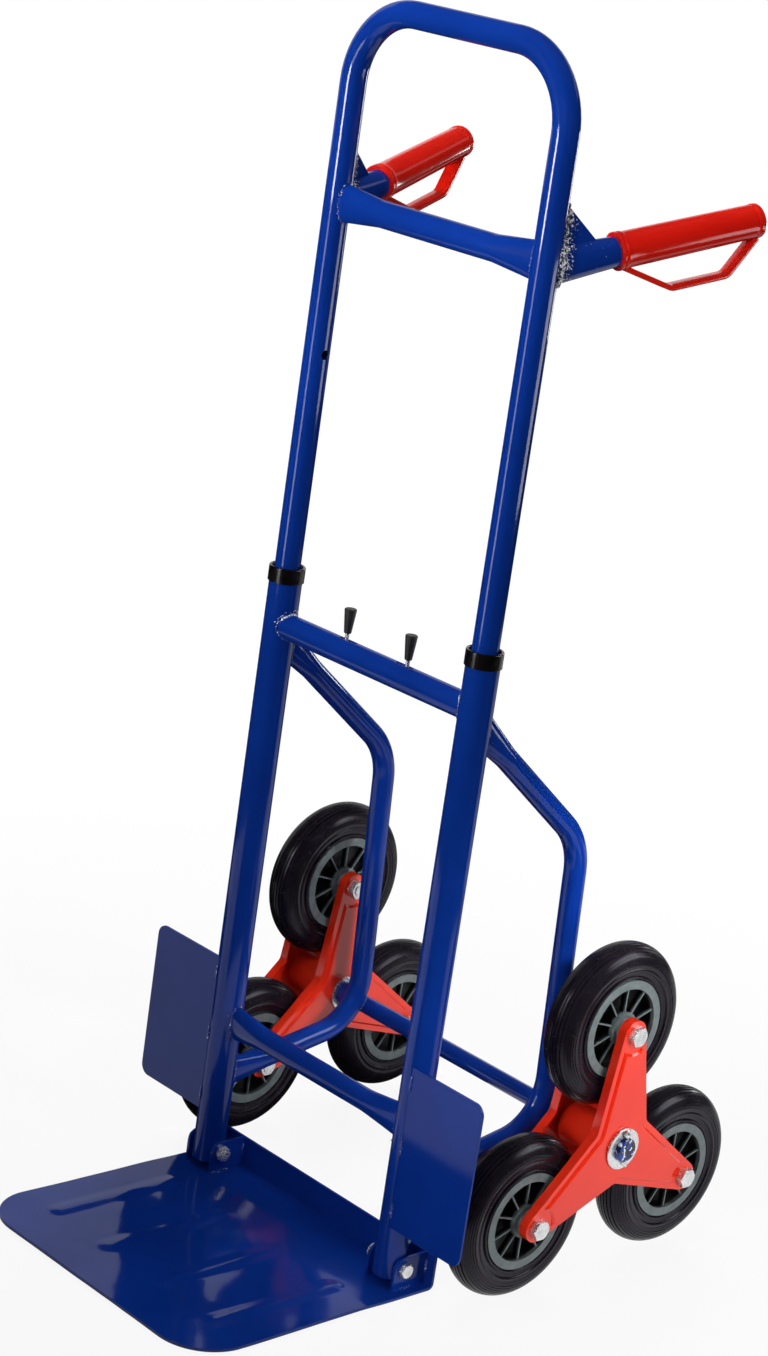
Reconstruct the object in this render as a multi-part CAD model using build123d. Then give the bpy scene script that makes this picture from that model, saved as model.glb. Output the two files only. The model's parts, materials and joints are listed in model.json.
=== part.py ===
from build123d import *
import os
from math import atan2, cos, degrees, radians, sin, sqrt, tan

# Stair climbing hand truck, in millimetres.
# X is across the truck, -Y points to the toe plate, +Y to the wheels and Z is up.
# The origin is on the floor, in the middle, under the hinge of the toe plate.

# Tubes of the frame and the handle
TRACK = 272.0
LEG_OD = 25.0
GUIDE_WALL = 2.0
STAY_OD = 22.0
LOCK_TUBE_OD = 25.0
HANDLE_CROSS_OD = 25.0
LOWER_CROSS_OD = 22.0
TUBE_WALL = 1.5

# Heights above the floor
HINGE_Z = 23.5
LOWER_CROSS_Z = 163.0
LOCK_Z = 572.5
UPRIGHT_TOP_Z = 624.5
HANDLE_CROSS_Z = 978.5
LOOP_AXIS_Z = 1158.0

# Flattened tube ends: half height, half thickness and the length of the taper
HANDLE_CROSS_END = (19.0, 6.5)
LOWER_CROSS_END = (20.0, 5.5)
STAY_END = (16.5, 6.0)
CROSS_TAPER = 62.0
STAY_TAPER = 42.0

# Sliding handle
LOOP_CORNER_RADIUS = 70.0
LEG_BOTTOM_Z = 476.0
HANDLE_TRAVEL = 264.0
LOCK_HOLES = 2
GUIDE_COLLAR_SKIRT = 9.5
GUIDE_COLLAR_LIP = 5.5
GUIDE_COLLAR_WALL = 1.5
GUIDE_COLLAR_RIM = 2.6
GUIDE_COLLAR_FLOOR = 1.6
GUIDE_SPIGOT = 26.0
LEG_PLUG_HEIGHT = 24.0
LEG_PLUG_SPIGOT = 16.0

# Handle grips, which point back, outwards and up
GRIP_SPLAY = 15.4
GRIP_RISE = 14.2
GRIP_Z = 975.0
GRIP_START = 69.0
GRIP_LENGTH = 149.0
GRIP_STUB_OD = 27.0
GRIP_WALL = 3.0
GRIP_TAPER = 2.5
GRIP_STUB_END = (18.0, 10.0)
GRIP_END_WALL = 4.0
GRIP_ROUNDING = 4.0
GRIP_COLLAR_LENGTH = 6.0
GRIP_COLLAR_RISE = 0.8
GUARD_DROP = 26.0
GUARD_WIDTH = 14.0
GUARD_THICKNESS = 5.0
GUARD_FRONT_RUN = 47.0
GUARD_REAR_RUN = 32.0
GUARD_CORNER_RADIUS = 11.0
GUSSET_LEG = 37.0
GUSSET_STUB = 39.0
GUSSET_THICKNESS = 4.0

# Handle locks inside the lock cross tube
PLUNGER_NOSE_D = 8.4
PLUNGER_BODY_LENGTH = 30.0
PLUNGER_NOSE_GAP = 0.7
LOCK_THROW = 6.0
LOCK_PULL = 12.0
KNOB_X = 42.0
KNOB_HEIGHT = 24.0
KNOB_TOP_D = 12.0
KNOB_BOTTOM_D = 7.0
KNOB_ROUNDING = 1.2
STUD_D = 4.0
STUD_SHOWING = 6.0
STUD_IN_KNOB = 16.0
SPRING_STOP_LENGTH = 8.0
SPRING_OD = 16.0
SPRING_WIRE = 1.6
SPRING_TURNS = 5

# Toe plate and its hinge
TOE_SIDE = 30.0
TOE_FRONT = 260.0
TOE_BACK = 32.0
TOE_THICKNESS = 3.0
TOE_FLANGE_HEIGHT = 34.5
TOE_CORNER_RADIUS = 52.0
TOE_BEND_RADIUS = 6.0
RIB_PITCH = 80.0
RIB_COUNT = 4
RIB_LENGTH = 169.0
RIB_WIDTH = 23.0
RIB_HEIGHT = 2.4
RIB_SLOPE = 2.2
RIB_CENTRE_Y = -127.5
FOLD_GAP = 0.8
LUG_THICKNESS = 3.0
LUG_NOSE_RADIUS = 12.0
HINGE_BOLT_D = 8.0
HINGE_HEAD_AF = 13.0
HINGE_HEAD_HEIGHT = 5.5
HINGE_NUT_HEIGHT = 6.5
HINGE_DOME = 1.6

# Load wings beside the uprights
WING_THICKNESS = 2.2
WING_SETBACK = 0.8
WING_REACH = 100.0
WING_BOTTOM_Z = 65.5
WING_TOP_Z = 228.5
WING_CORNER_RADIUS = 11.0

# Wheel stays, in the planes of the uprights: their axis goes from the top by a knee and a heel to the foot
STAY_TOP_Z = 549.0
STAY_KNEE_Z = 425.0
STAY_KNEE_SETBACK = 14.0
STAY_HEEL_DROP = 13.8
STAY_FOOT_Z = 102.0
STAY_KNEE_RADIUS = 70.0
STAY_HEEL_RADIUS = 55.0

# Wheels and the stars that carry them
WHEEL_OD = 163.5
WHEEL_WIDTH = 36.0
WHEEL_OFFSET = 64.0
TYRE_TO_HUB_TUBE = 14.25
TYRE_TO_WING = 1.7
STAR_ARMS = 3
STAR_TILT = -2.6
STAR_HALF_DEPTH = 32.5
STAR_LOBE_RADIUS = 14.5
STAR_WAIST_RADIUS = 37.0
STAR_INSIDE_RADIUS = 8.0
STAR_SHEET = 2.5
STAR_FLANGE = 9.5
STAR_PANEL_INSET = 6.0
STAR_PANEL_RISE = 2.5
STAR_PANEL_SLOPE = 2.0
STAR_PAD_RADIUS = 19.0
STAR_TUBE_OD = 42.0
STAR_TUBE_WALL = 4.0
HUB_BUSH_LENGTH = 20.0
WHEEL_BOLT_D = 12.0
WHEEL_BOLT_AF = 18.0
WHEEL_BOLT_HEAD = 7.0
WHEEL_NUT_HEIGHT = 8.0
WHEEL_SLEEVE_OD = 16.0
HEX_CHAMFER = 1.0

# Tyre and rim
RIM_SEAT_RADIUS = 49.0
RIM_RING_INSIDE = 40.5
RIM_HALF_WIDTH = 17.5
RIM_HUB_RADIUS = 16.5
RIM_BOSS_RADIUS = 11.5
RIM_WEB = 3.0
RIM_SPOKES = 10
RIM_SPOKE_WIDTH = 1.6
RIM_SPOKE_DEPTH = 7.0
RIM_SPOKE_INSET = 2.5
RIM_SPOKE_ROOT = 2.5
RIM_GROOVE_DEPTH = 2.5
RIM_GROOVE_HALF_WIDTH = 11.0
TYRE_BEAD_HALF_WIDTH = 15.0
TYRE_WIDEST_DROP = 17.75
TYRE_SHOULDER_DROP = 5.25
TYRE_SHOULDER_HALF_WIDTH = 13.0
TREAD_GROOVES = 7
TREAD_PITCH = 3.4
TREAD_GROOVE_WIDTH = 1.3
TREAD_GROOVE_DEPTH = 1.1
SHOULDER_GROOVES = 5
SHOULDER_GROOVE_WIDTH = 1.0
SHOULDER_GROOVE_DEPTH = 0.8
SIDE_RIDGE_DROP = 22.5
SIDE_RIDGE_RADIUS = 2.2
SIDE_RIDGE_RISE = 1.2
SIDE_BEAD_RADIUS = 1.3

# Axle
AXLE_MIDDLE_D = 18.0
AXLE_SHOULDER_D = 30.0
AXLE_JOURNAL_D = 24.0
AXLE_TIP = 3.2
AXLE_CHAMFER = 1.2
AXLE_SADDLE = 3.7
WASHER_OUTER_OD = 42.0
WASHER_INNER_OD = 38.0
WASHER_THICKNESS = 2.4
PIN_WIRE = 3.2
PIN_EYE_RADIUS = 3.0
PIN_LEG = 6.0
PIN_LEG_SPREAD = 50.0

# Clearances
RUN = 0.06
GAP = 0.4
HOLE_GAP = 0.3

# Places that follow from the sizes above
HALF_TRACK = TRACK / 2
UPRIGHT_OD = LEG_OD + 2 * (GUIDE_WALL + TUBE_WALL)
UPRIGHT_R = UPRIGHT_OD / 2
UPRIGHT_BORE = UPRIGHT_R - TUBE_WALL
LEG_R = LEG_OD / 2
LEG_BORE = LEG_R - TUBE_WALL
LOCK_BORE = LOCK_TUBE_OD / 2 - TUBE_WALL
STAY_R = STAY_OD / 2
UPRIGHT_BOTTOM_Z = HINGE_Z - sqrt((HINGE_Z - TOE_THICKNESS - FOLD_GAP) ** 2 - UPRIGHT_R ** 2)
GRIP_OD = GRIP_STUB_OD + 2 * GRIP_WALL
GRIP_TIP_OD = GRIP_OD - GRIP_TAPER
WING_FRONT_Y = WING_SETBACK - UPRIGHT_R
WING_BACK_Y = WING_FRONT_Y + WING_THICKNESS
WHEEL_R = WHEEL_OD / 2
TYRE_WIDEST_RADIUS = WHEEL_R - TYRE_WIDEST_DROP
TYRE_SHOULDER_RADIUS = WHEEL_R - TYRE_SHOULDER_DROP
STAR_RADIUS = WHEEL_R + STAR_TUBE_OD / 2 + TYRE_TO_HUB_TUBE
ARM_STEP = 360 / STAR_ARMS
WHEEL_X = HALF_TRACK + WHEEL_OFFSET
HUB_Y = WING_BACK_Y + TYRE_TO_WING + STAR_RADIUS + WHEEL_R
HUB_Z = WHEEL_R + STAR_RADIUS * cos(radians(180 / STAR_ARMS + STAR_TILT))
WASHER_INNER_X = WHEEL_X - STAR_HALF_DEPTH - STAR_PANEL_RISE - GAP - WASHER_THICKNESS
WASHER_OUTER_X = WHEEL_X + STAR_HALF_DEPTH + STAR_PANEL_RISE + GAP
PIN_X = WASHER_OUTER_X + WASHER_THICKNESS + GAP + PIN_WIRE / 2
AXLE_END_X = PIN_X + AXLE_TIP
LUG_INNER_FACE = UPRIGHT_R + GAP
LUG_OUTER_FACE = LUG_INNER_FACE + LUG_THICKNESS
PLUNGER_TIP_X = HALF_TRACK - LEG_R - PLUNGER_NOSE_GAP


def stay_corners(heel_y):
    """(y, z) of a stay's knee, heel and foot."""
    knee = Vector(heel_y - STAY_KNEE_SETBACK, STAY_KNEE_Z)
    return knee, Vector(heel_y, HUB_Z - STAY_HEEL_DROP), Vector(UPRIGHT_R, STAY_FOOT_Z)


def axle_y(heel_y):
    """Where an axle lies in a saddle on the outside of the heel bend, at the height of the hub."""
    knee, heel, foot = stay_corners(heel_y)
    to_knee, to_foot = (knee - heel).normalized(), (foot - heel).normalized()
    half = radians(to_knee.get_angle(to_foot) / 2)
    centre = heel + (to_knee + to_foot).normalized() * (STAY_HEEL_RADIUS / sin(half))
    reach = STAY_HEEL_RADIUS + STAY_R + AXLE_MIDDLE_D / 2 - AXLE_SADDLE
    return centre.X + sqrt(reach ** 2 - (centre.Y - HUB_Z) ** 2)


def find_heel_y():
    """The heel that puts the axle at the hub, found in a few steps."""
    y = HUB_Y
    for _ in range(20):
        y += HUB_Y - axle_y(y)
    return y


STAY_KNEE, STAY_HEEL, STAY_FOOT = stay_corners(find_heel_y())


def save(shape, node):
    """Write one node as a STEP file."""
    export_step(shape, f"parts/{node}.step")


def side_name(side):
    return "right" if side > 0 else "left"


def rod(radius, start, end):
    """A round bar between two points."""
    axis = Vector(*end) - Vector(*start)
    return Plane(origin=start, z_dir=axis) * Cylinder(
        radius, axis.length, align=(Align.CENTER, Align.CENTER, Align.MIN)
    )


def rod_x(radius, x0, x1, y=0, z=0):
    return rod(radius, (x0, y, z), (x1, y, z))


def rod_z(radius, z0, z1, x=0, y=0):
    return rod(radius, (x, y, z0), (x, y, z1))


def box_between(low, high):
    """A block from its lowest to its highest corner."""
    low, high = Vector(*low), Vector(*high)
    return Pos(*((low + high) * 0.5)) * Box(*(high - low))


def hexagon_x(across_flats, x0, x1, y, z):
    """A hexagon bar along X, its far end turned to a chamfer."""
    length = abs(x1 - x0)
    plane = Plane(origin=(x0, y, z), x_dir=(0, 1, 0), z_dir=(x1 - x0, 0, 0))
    bar = extrude(RegularPolygon(across_flats / 2, 6, major_radius=False), length)
    corner = across_flats / sqrt(3)
    turned = Pos(0, 0, length / 2) * Cylinder(corner, length)
    turned = chamfer(turned.edges().sort_by(Axis.Z)[-1], HEX_CHAMFER)
    return plane * (bar & turned)


def swept_tube(points, radii, radius):
    """A solid round bar along straight runs joined by bends."""
    path = FilletPolyline(*points, radius=radii)
    return sweep(Plane(origin=path @ 0, z_dir=path % 0) * Circle(radius), path)


def flattened(start, end, half_height, half_thickness, radius, flat_dir):
    """A bar that changes from a flattened end at start to a round section at end."""
    axis = Vector(*end) - Vector(*start)
    flat = Plane(origin=start, x_dir=flat_dir, z_dir=axis) * Ellipse(half_height, half_thickness)
    full = Plane(origin=end, x_dir=flat_dir, z_dir=axis) * Circle(radius)
    return loft([flat, full])


def cross_tube(z, od, end):
    """A tube across the truck with flattened ends, still uncut where it meets the uprights."""

    def bar(inset):
        radius = od / 2 - inset
        inner = HALF_TRACK - CROSS_TAPER
        middle = rod_x(radius, -inner, inner, z=z)
        for side in (-1, 1):
            start, stop = (side * HALF_TRACK, 0, z), (side * inner, 0, z)
            middle += flattened(start, stop, end[0] - inset, end[1] - inset, radius, (0, 0, 1))
        return middle

    return bar(0) - bar(TUBE_WALL)


def stay(side):
    """A bent wheel stay with flattened ends, cut to the upright and saddled for the axle."""
    x = side * HALF_TRACK
    top = Vector(x, UPRIGHT_R, STAY_TOP_Z)
    knee, heel, foot = [Vector(x, corner.X, corner.Y) for corner in (STAY_KNEE, STAY_HEEL, STAY_FOOT)]
    down, back = (knee - top).normalized(), (heel - foot).normalized()
    top_end, foot_end = top - down * UPRIGHT_R, foot - back * UPRIGHT_R
    top_round, foot_round = top + down * STAY_TAPER, foot + back * STAY_TAPER

    def bar(inset):
        radius = STAY_R - inset
        path = [top_round, knee, heel, foot_round]
        body = swept_tube(path, [STAY_KNEE_RADIUS, STAY_HEEL_RADIUS], radius)
        for start, end, run in ((top_end, top_round, down), (foot_end, foot_round, back)):
            flat_dir = run.cross(Vector(1, 0, 0))
            body += flattened(start, end, STAY_END[0] - inset, STAY_END[1] - inset, radius, flat_dir)
        return body

    upright_bar = rod_z(UPRIGHT_R, 0, UPRIGHT_TOP_Z, x=x)
    axle_bar = rod_x(AXLE_MIDDLE_D / 2, x - STAY_OD, x + STAY_OD, HUB_Y, HUB_Z)
    return bar(0) - bar(TUBE_WALL) - upright_bar - axle_bar


def upright(side):
    """A lower upright tube, with the hinge bolt's holes and the lock's hole."""
    x = side * HALF_TRACK
    tube = rod_z(UPRIGHT_R, UPRIGHT_BOTTOM_Z, UPRIGHT_TOP_Z, x=x)
    tube -= rod_z(UPRIGHT_BORE, UPRIGHT_BOTTOM_Z, UPRIGHT_TOP_Z, x=x)
    tube -= rod_x(HINGE_BOLT_D / 2 + RUN, x - UPRIGHT_OD, x + UPRIGHT_OD, z=HINGE_Z)
    return tube - rod_x(PLUNGER_NOSE_D / 2 + HOLE_GAP, side * KNOB_X, x, z=LOCK_Z)


def lock_cross_tube():
    """The tube that houses both locks, with a slot on top for each stud."""
    tube = rod_x(LOCK_TUBE_OD / 2, -HALF_TRACK, HALF_TRACK, z=LOCK_Z)
    tube -= rod_x(LOCK_BORE, -HALF_TRACK, HALF_TRACK, z=LOCK_Z)
    half_slot = STUD_D / 2 + HOLE_GAP
    for side in (-1, 1):
        tube -= rod_z(UPRIGHT_R, 0, UPRIGHT_TOP_Z, x=side * HALF_TRACK)
        inner, outer = KNOB_X - LOCK_PULL, KNOB_X + LOCK_THROW
        slot = box_between((inner, -half_slot, LOCK_Z), (outer, half_slot, LOCK_Z + LOCK_TUBE_OD))
        for x in (inner, outer):
            slot += rod_z(half_slot, LOCK_Z, LOCK_Z + LOCK_TUBE_OD, x=x)
        tube -= slot if side > 0 else mirror(slot, about=Plane.YZ)
    return tube


def guide_bush(side):
    """A plastic collar on top of an upright: a cup with a round rim, and a spigot that guides the leg."""
    bore = LEG_R + RUN
    outside = UPRIGHT_R + GUIDE_COLLAR_WALL
    skirt_z = UPRIGHT_TOP_Z - GUIDE_COLLAR_SKIRT
    lip_z = UPRIGHT_TOP_Z + GUIDE_COLLAR_LIP
    collar = rod_z(outside, skirt_z, lip_z)
    collar -= rod_z(outside - GUIDE_COLLAR_RIM, UPRIGHT_TOP_Z + GUIDE_COLLAR_FLOOR, lip_z)
    rim_edges = collar.edges().filter_by(GeomType.CIRCLE).group_by(Axis.Z)[-1]
    collar = fillet(rim_edges, 0.45 * GUIDE_COLLAR_RIM)
    collar -= rod_z(UPRIGHT_R, skirt_z, UPRIGHT_TOP_Z)
    collar += rod_z(UPRIGHT_BORE, UPRIGHT_TOP_Z - GUIDE_SPIGOT, UPRIGHT_TOP_Z)
    collar -= rod_z(bore, skirt_z - GUIDE_SPIGOT, lip_z)
    return Pos(side * HALF_TRACK, 0, 0) * collar


def wing(side):
    """A steel plate beside an upright, which keeps a wide load off the wheels."""
    low = (HALF_TRACK, WING_FRONT_Y, WING_BOTTOM_Z)
    plate = box_between(low, (HALF_TRACK + WING_REACH, WING_BACK_Y, WING_TOP_Z))
    corners = plate.edges().filter_by(Axis.Y).group_by(Axis.X)[-1]
    plate = fillet(corners, WING_CORNER_RADIUS)
    plate -= rod_z(UPRIGHT_R, WING_BOTTOM_Z, WING_TOP_Z, x=HALF_TRACK)
    plate = plate.solids().sort_by(SortBy.VOLUME)[-1]
    return plate if side > 0 else mirror(plate, about=Plane.YZ)


def axle():
    """The axle: a thin middle behind the stays, shoulders and two journals with pin holes."""
    bar = rod_x(AXLE_MIDDLE_D / 2, -WASHER_INNER_X, WASHER_INNER_X, HUB_Y, HUB_Z)
    for side in (-1, 1):
        shoulder = side * (HALF_TRACK + STAY_R + GAP)
        bar += rod_x(AXLE_SHOULDER_D / 2, shoulder, side * WASHER_INNER_X, HUB_Y, HUB_Z)
        journal = rod_x(AXLE_JOURNAL_D / 2, side * WASHER_INNER_X, side * AXLE_END_X, HUB_Y, HUB_Z)
        end = journal.edges().filter_by(GeomType.CIRCLE).sort_by(Axis.X)[-1 if side > 0 else 0]
        bar += chamfer(end, AXLE_CHAMFER)
        bar -= rod_z(PIN_WIRE / 2, HUB_Z - AXLE_JOURNAL_D, HUB_Z + AXLE_JOURNAL_D, x=side * PIN_X, y=HUB_Y)
    return bar


def washers():
    """A washer on each side of each star."""
    rings = []
    for side in (-1, 1):
        for x, od in ((WASHER_INNER_X, WASHER_INNER_OD), (WASHER_OUTER_X, WASHER_OUTER_OD)):
            ring = rod_x(od / 2, side * x, side * (x + WASHER_THICKNESS), HUB_Y, HUB_Z)
            ring = chamfer(ring.edges().filter_by(GeomType.CIRCLE), WASHER_THICKNESS / 6)
            rings.append(ring - rod_x(AXLE_JOURNAL_D / 2, side * x, side * AXLE_END_X, HUB_Y, HUB_Z))
    return Compound(children=rings)


def split_pins():
    """A bent pin through each end of the axle: an eye on top and a spread leg below."""
    pins = []
    for side in (-1, 1):
        x = side * PIN_X
        reach = AXLE_JOURNAL_D / 2 + PIN_WIRE / 2
        eye = HUB_Z + reach + PIN_EYE_RADIUS
        shank_end = HUB_Z - reach
        bend = radians(PIN_LEG_SPREAD)
        leg_end = (x, HUB_Y + PIN_LEG * sin(bend), shank_end - PIN_LEG * cos(bend))
        pin = rod_z(PIN_WIRE / 2, shank_end, HUB_Z + reach, x=x, y=HUB_Y)
        pin += Pos(x, HUB_Y, shank_end) * Sphere(PIN_WIRE / 2)
        pin += rod(PIN_WIRE / 2, (x, HUB_Y, shank_end), leg_end)
        pin += Plane(origin=(x, HUB_Y, eye), z_dir=(1, 0, 0)) * Torus(PIN_EYE_RADIUS, PIN_WIRE / 2)
        pins.append(pin)
    return Compound(children=pins)


def plunger(side):
    """A lock: a body in the cross tube, a nose through the upright and a stud for the knob."""
    body_end = KNOB_X + PLUNGER_BODY_LENGTH / 2
    bolt = rod_x(LOCK_BORE - RUN, KNOB_X - PLUNGER_BODY_LENGTH / 2, body_end, z=LOCK_Z)
    bolt += rod_x(PLUNGER_NOSE_D / 2, body_end, PLUNGER_TIP_X, z=LOCK_Z)
    tip = bolt.faces().sort_by(Axis.X)[-1].edges()
    bolt = chamfer(tip, HEX_CHAMFER)
    stud_top = LOCK_Z + LOCK_TUBE_OD / 2 + STUD_SHOWING + STUD_IN_KNOB
    bolt += rod_z(STUD_D / 2, LOCK_Z, stud_top, x=KNOB_X)
    return bolt if side > 0 else mirror(bolt, about=Plane.YZ)


def knob(side):
    """A plastic knob, wider at its top, screwed on the stud."""
    foot = LOCK_Z + LOCK_TUBE_OD / 2 + STUD_SHOWING
    cone = Cone(KNOB_BOTTOM_D / 2, KNOB_TOP_D / 2, KNOB_HEIGHT)
    cone = fillet(cone.edges().filter_by(GeomType.CIRCLE), KNOB_ROUNDING)
    cone = Pos(side * KNOB_X, 0, foot + KNOB_HEIGHT / 2) * cone
    return cone - rod_z(STUD_D / 2, foot, foot + STUD_IN_KNOB, x=side * KNOB_X)


def spring(side):
    """A coil spring between the stop in the middle of the cross tube and a plunger."""
    start = SPRING_STOP_LENGTH / 2 + SPRING_WIRE / 2
    end = KNOB_X - PLUNGER_BODY_LENGTH / 2 - SPRING_WIRE / 2
    radius = (SPRING_OD - SPRING_WIRE) / 2
    coil = Helix((end - start) / SPRING_TURNS, end - start, radius, (start, 0, LOCK_Z), (1, 0, 0))
    wire = sweep(Plane(origin=coil @ 0, z_dir=coil % 0) * Circle(SPRING_WIRE / 2), coil, is_frenet=True)
    return wire if side > 0 else mirror(wire, about=Plane.YZ)


def handle_loop():
    """The bent handle tube, with lock holes on the inner side of each leg."""
    top, foot = LOOP_AXIS_Z, LEG_BOTTOM_Z
    path = [(-HALF_TRACK, 0, foot), (-HALF_TRACK, 0, top), (HALF_TRACK, 0, top), (HALF_TRACK, 0, foot)]
    tube = swept_tube(path, LOOP_CORNER_RADIUS, LEG_R) - swept_tube(path, LOOP_CORNER_RADIUS, LEG_BORE)
    step = HANDLE_TRAVEL / (LOCK_HOLES - 1)
    for i in range(LOCK_HOLES):
        z = LOCK_Z + i * step
        for side in (-1, 1):
            x = side * HALF_TRACK
            tube -= rod_x(PLUNGER_NOSE_D / 2 + HOLE_GAP, x - side * LEG_OD, x, z=z)
    return tube


def leg_plugs():
    """Plastic plugs in the bottom of the legs, which run in the bores of the uprights."""
    plugs = []
    for side in (-1, 1):
        x = side * HALF_TRACK
        plug = rod_z(UPRIGHT_BORE - RUN, LEG_BOTTOM_Z - LEG_PLUG_HEIGHT, LEG_BOTTOM_Z, x=x)
        plug = chamfer(plug.edges().filter_by(GeomType.CIRCLE), HEX_CHAMFER)
        plugs.append(plug + rod_z(LEG_BORE, LEG_BOTTOM_Z, LEG_BOTTOM_Z + LEG_PLUG_SPIGOT, x=x))
    return Compound(children=plugs)


def grip_plane(side):
    """Plane at the leg, its Z along the grip, its X level and its Y upwards."""
    splay, rise = radians(GRIP_SPLAY), radians(GRIP_RISE)
    along = Vector(side * sin(splay) * cos(rise), cos(splay) * cos(rise), sin(rise))
    across = Vector(-cos(splay), side * sin(splay), 0)
    return Plane(origin=(side * HALF_TRACK, 0, GRIP_Z), x_dir=across, z_dir=along)


def leg_bar(side):
    return rod_z(LEG_R, LEG_BOTTOM_Z, LOOP_AXIS_Z - LOOP_CORNER_RADIUS, x=side * HALF_TRACK)


def grip_stub(side):
    """The tube that carries a grip, cut to the leg."""
    front = box_between((-TRACK, -LEG_OD, 0), (TRACK, HANDLE_CROSS_END[1] + GAP, LOOP_AXIS_Z))
    return grip_plane(side) * (stub_bar(0) - stub_bar(TUBE_WALL)) - leg_bar(side) - front


def stub_bar(inset):
    """A bar along Z in the shape of a grip stub: flattened at the leg and round inside the grip."""
    radius = GRIP_STUB_OD / 2 - inset
    end = (GRIP_STUB_END[0] - inset, GRIP_STUB_END[1] - inset)
    bar = flattened((0, 0, 0), (0, 0, GRIP_START), *end, radius, (0, 1, 0))
    return bar + rod_z(radius, GRIP_START, GRIP_START + GRIP_LENGTH - GRIP_END_WALL)


def gusset(side):
    """A triangular plate above a stub, in the corner between it and its leg."""
    foot = LEG_R + GUSSET_STUB
    crest = GRIP_STUB_OD / 2 + GUSSET_LEG
    lean = crest * tan(radians(GRIP_RISE)) + LEG_R
    corners = ((0, 0), (foot, 0), (foot, GRIP_STUB_OD / 2), (lean, crest), (0, crest))
    sheet = make_face(Polyline(*corners, close=True))
    sheet = extrude(sheet, GUSSET_THICKNESS / 2, both=True)
    plate = grip_plane(side) * Plane(origin=(0, 0, 0), x_dir=(0, 0, 1), z_dir=(-1, 0, 0)) * sheet
    plate -= leg_bar(side)
    plate -= grip_plane(side) * stub_bar(0)
    return plate.solids().sort_by(SortBy.VOLUME)[-1]


def grip(side):
    """A moulded grip with a raised collar at its front and a guard loop below it."""
    end = GRIP_START + GRIP_LENGTH
    body = Pos(0, 0, GRIP_START + GRIP_LENGTH / 2) * Cone(GRIP_OD / 2, GRIP_TIP_OD / 2, GRIP_LENGTH)
    body = fillet(body.edges().filter_by(GeomType.CIRCLE).sort_by(Axis.Z)[-1], GRIP_ROUNDING)
    collar = rod_z(GRIP_OD / 2 + GRIP_COLLAR_RISE, GRIP_START, GRIP_START + GRIP_COLLAR_LENGTH)
    body += fillet(collar.edges().filter_by(GeomType.CIRCLE), GRIP_COLLAR_RISE / 2)
    front, rear = GRIP_START + GRIP_COLLAR_LENGTH, end - GRIP_ROUNDING - GUARD_THICKNESS / 2
    drop = GRIP_OD / 2 + GUARD_DROP
    inside = GRIP_TIP_OD / 4 + GRIP_STUB_OD / 4
    route = FilletPolyline(
        (front, inside), (front + GUARD_FRONT_RUN, drop), (rear - GUARD_REAR_RUN, drop), (rear, inside),
        radius=GUARD_CORNER_RADIUS,
    )
    strap = extrude(trace(route, GUARD_THICKNESS), GUARD_WIDTH / 2, both=True)
    body += Plane(origin=(0, 0, 0), x_dir=(0, 0, 1), z_dir=(1, 0, 0)) * strap
    return grip_plane(side) * (body - rod_z(GRIP_STUB_OD / 2, 0, end - GRIP_END_WALL))


def toe_plate():
    """The pressed toe plate, with a flange at its back and raised ribs."""
    half = HALF_TRACK + TOE_SIDE
    plate = box_between((-half, -TOE_FRONT, 0), (half, TOE_BACK, TOE_THICKNESS))
    corners = plate.edges().filter_by(Axis.Z).group_by(Axis.Y)[0]
    plate = fillet(corners, TOE_CORNER_RADIUS)
    plate += box_between((-half, TOE_BACK - TOE_THICKNESS, 0), (half, TOE_BACK, TOE_FLANGE_HEIGHT))
    outer = Vector(0, TOE_BACK, 0)
    inner = Vector(0, TOE_BACK - TOE_THICKNESS, TOE_THICKNESS)
    for corner, radius in ((outer, TOE_BEND_RADIUS), (inner, TOE_BEND_RADIUS - TOE_THICKNESS)):
        bend = plate.edges().filter_by(Axis.X).sort_by(lambda e: (e.center() - corner).length)[0]
        plate = fillet(bend, radius)
    for i in range(RIB_COUNT):
        x = (i - (RIB_COUNT - 1) / 2) * RIB_PITCH
        place = Pos(x, RIB_CENTRE_Y, 0) * Rot(0, 0, 90)
        plate += place * Pos(0, 0, TOE_THICKNESS) * rib(0)
        plate -= place * rib(TOE_THICKNESS / 2)
    return plate


def rib(inset):
    """A raised oval with sloping sides, smaller by inset for the hollow below it."""
    foot = SlotOverall(RIB_LENGTH - 2 * inset, RIB_WIDTH - 2 * inset)
    crest = SlotOverall(RIB_LENGTH - 2 * (inset + RIB_SLOPE), RIB_WIDTH - 2 * (inset + RIB_SLOPE))
    return loft([foot, Pos(0, 0, RIB_HEIGHT) * crest], ruled=True)


def lugs():
    """Four lugs on the toe plate, one on each side of each upright."""
    nose = LUG_NOSE_RADIUS
    outline = Circle(nose)
    low, high = TOE_THICKNESS - HINGE_Z, nose
    back = TOE_BACK - TOE_THICKNESS
    outline += Pos(back / 2, (low + high) / 2) * Rectangle(back, high - low)
    outline += Pos(-nose / 2, low / 2) * Rectangle(nose, -low)
    bend = TOE_BEND_RADIUS - TOE_THICKNESS
    outline -= Pos(back - bend / 2, low + bend / 2) * Rectangle(bend, bend)
    outline -= Circle(HINGE_BOLT_D / 2)
    plates = []
    for side in (-1, 1):
        for face in (-LUG_OUTER_FACE, LUG_INNER_FACE):
            place = (side * HALF_TRACK + face, 0, HINGE_Z)
            plane = Plane(origin=place, x_dir=(0, 1, 0), z_dir=(1, 0, 0))
            plates.append(plane * extrude(outline, LUG_THICKNESS))
    return Compound(children=plates)


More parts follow.
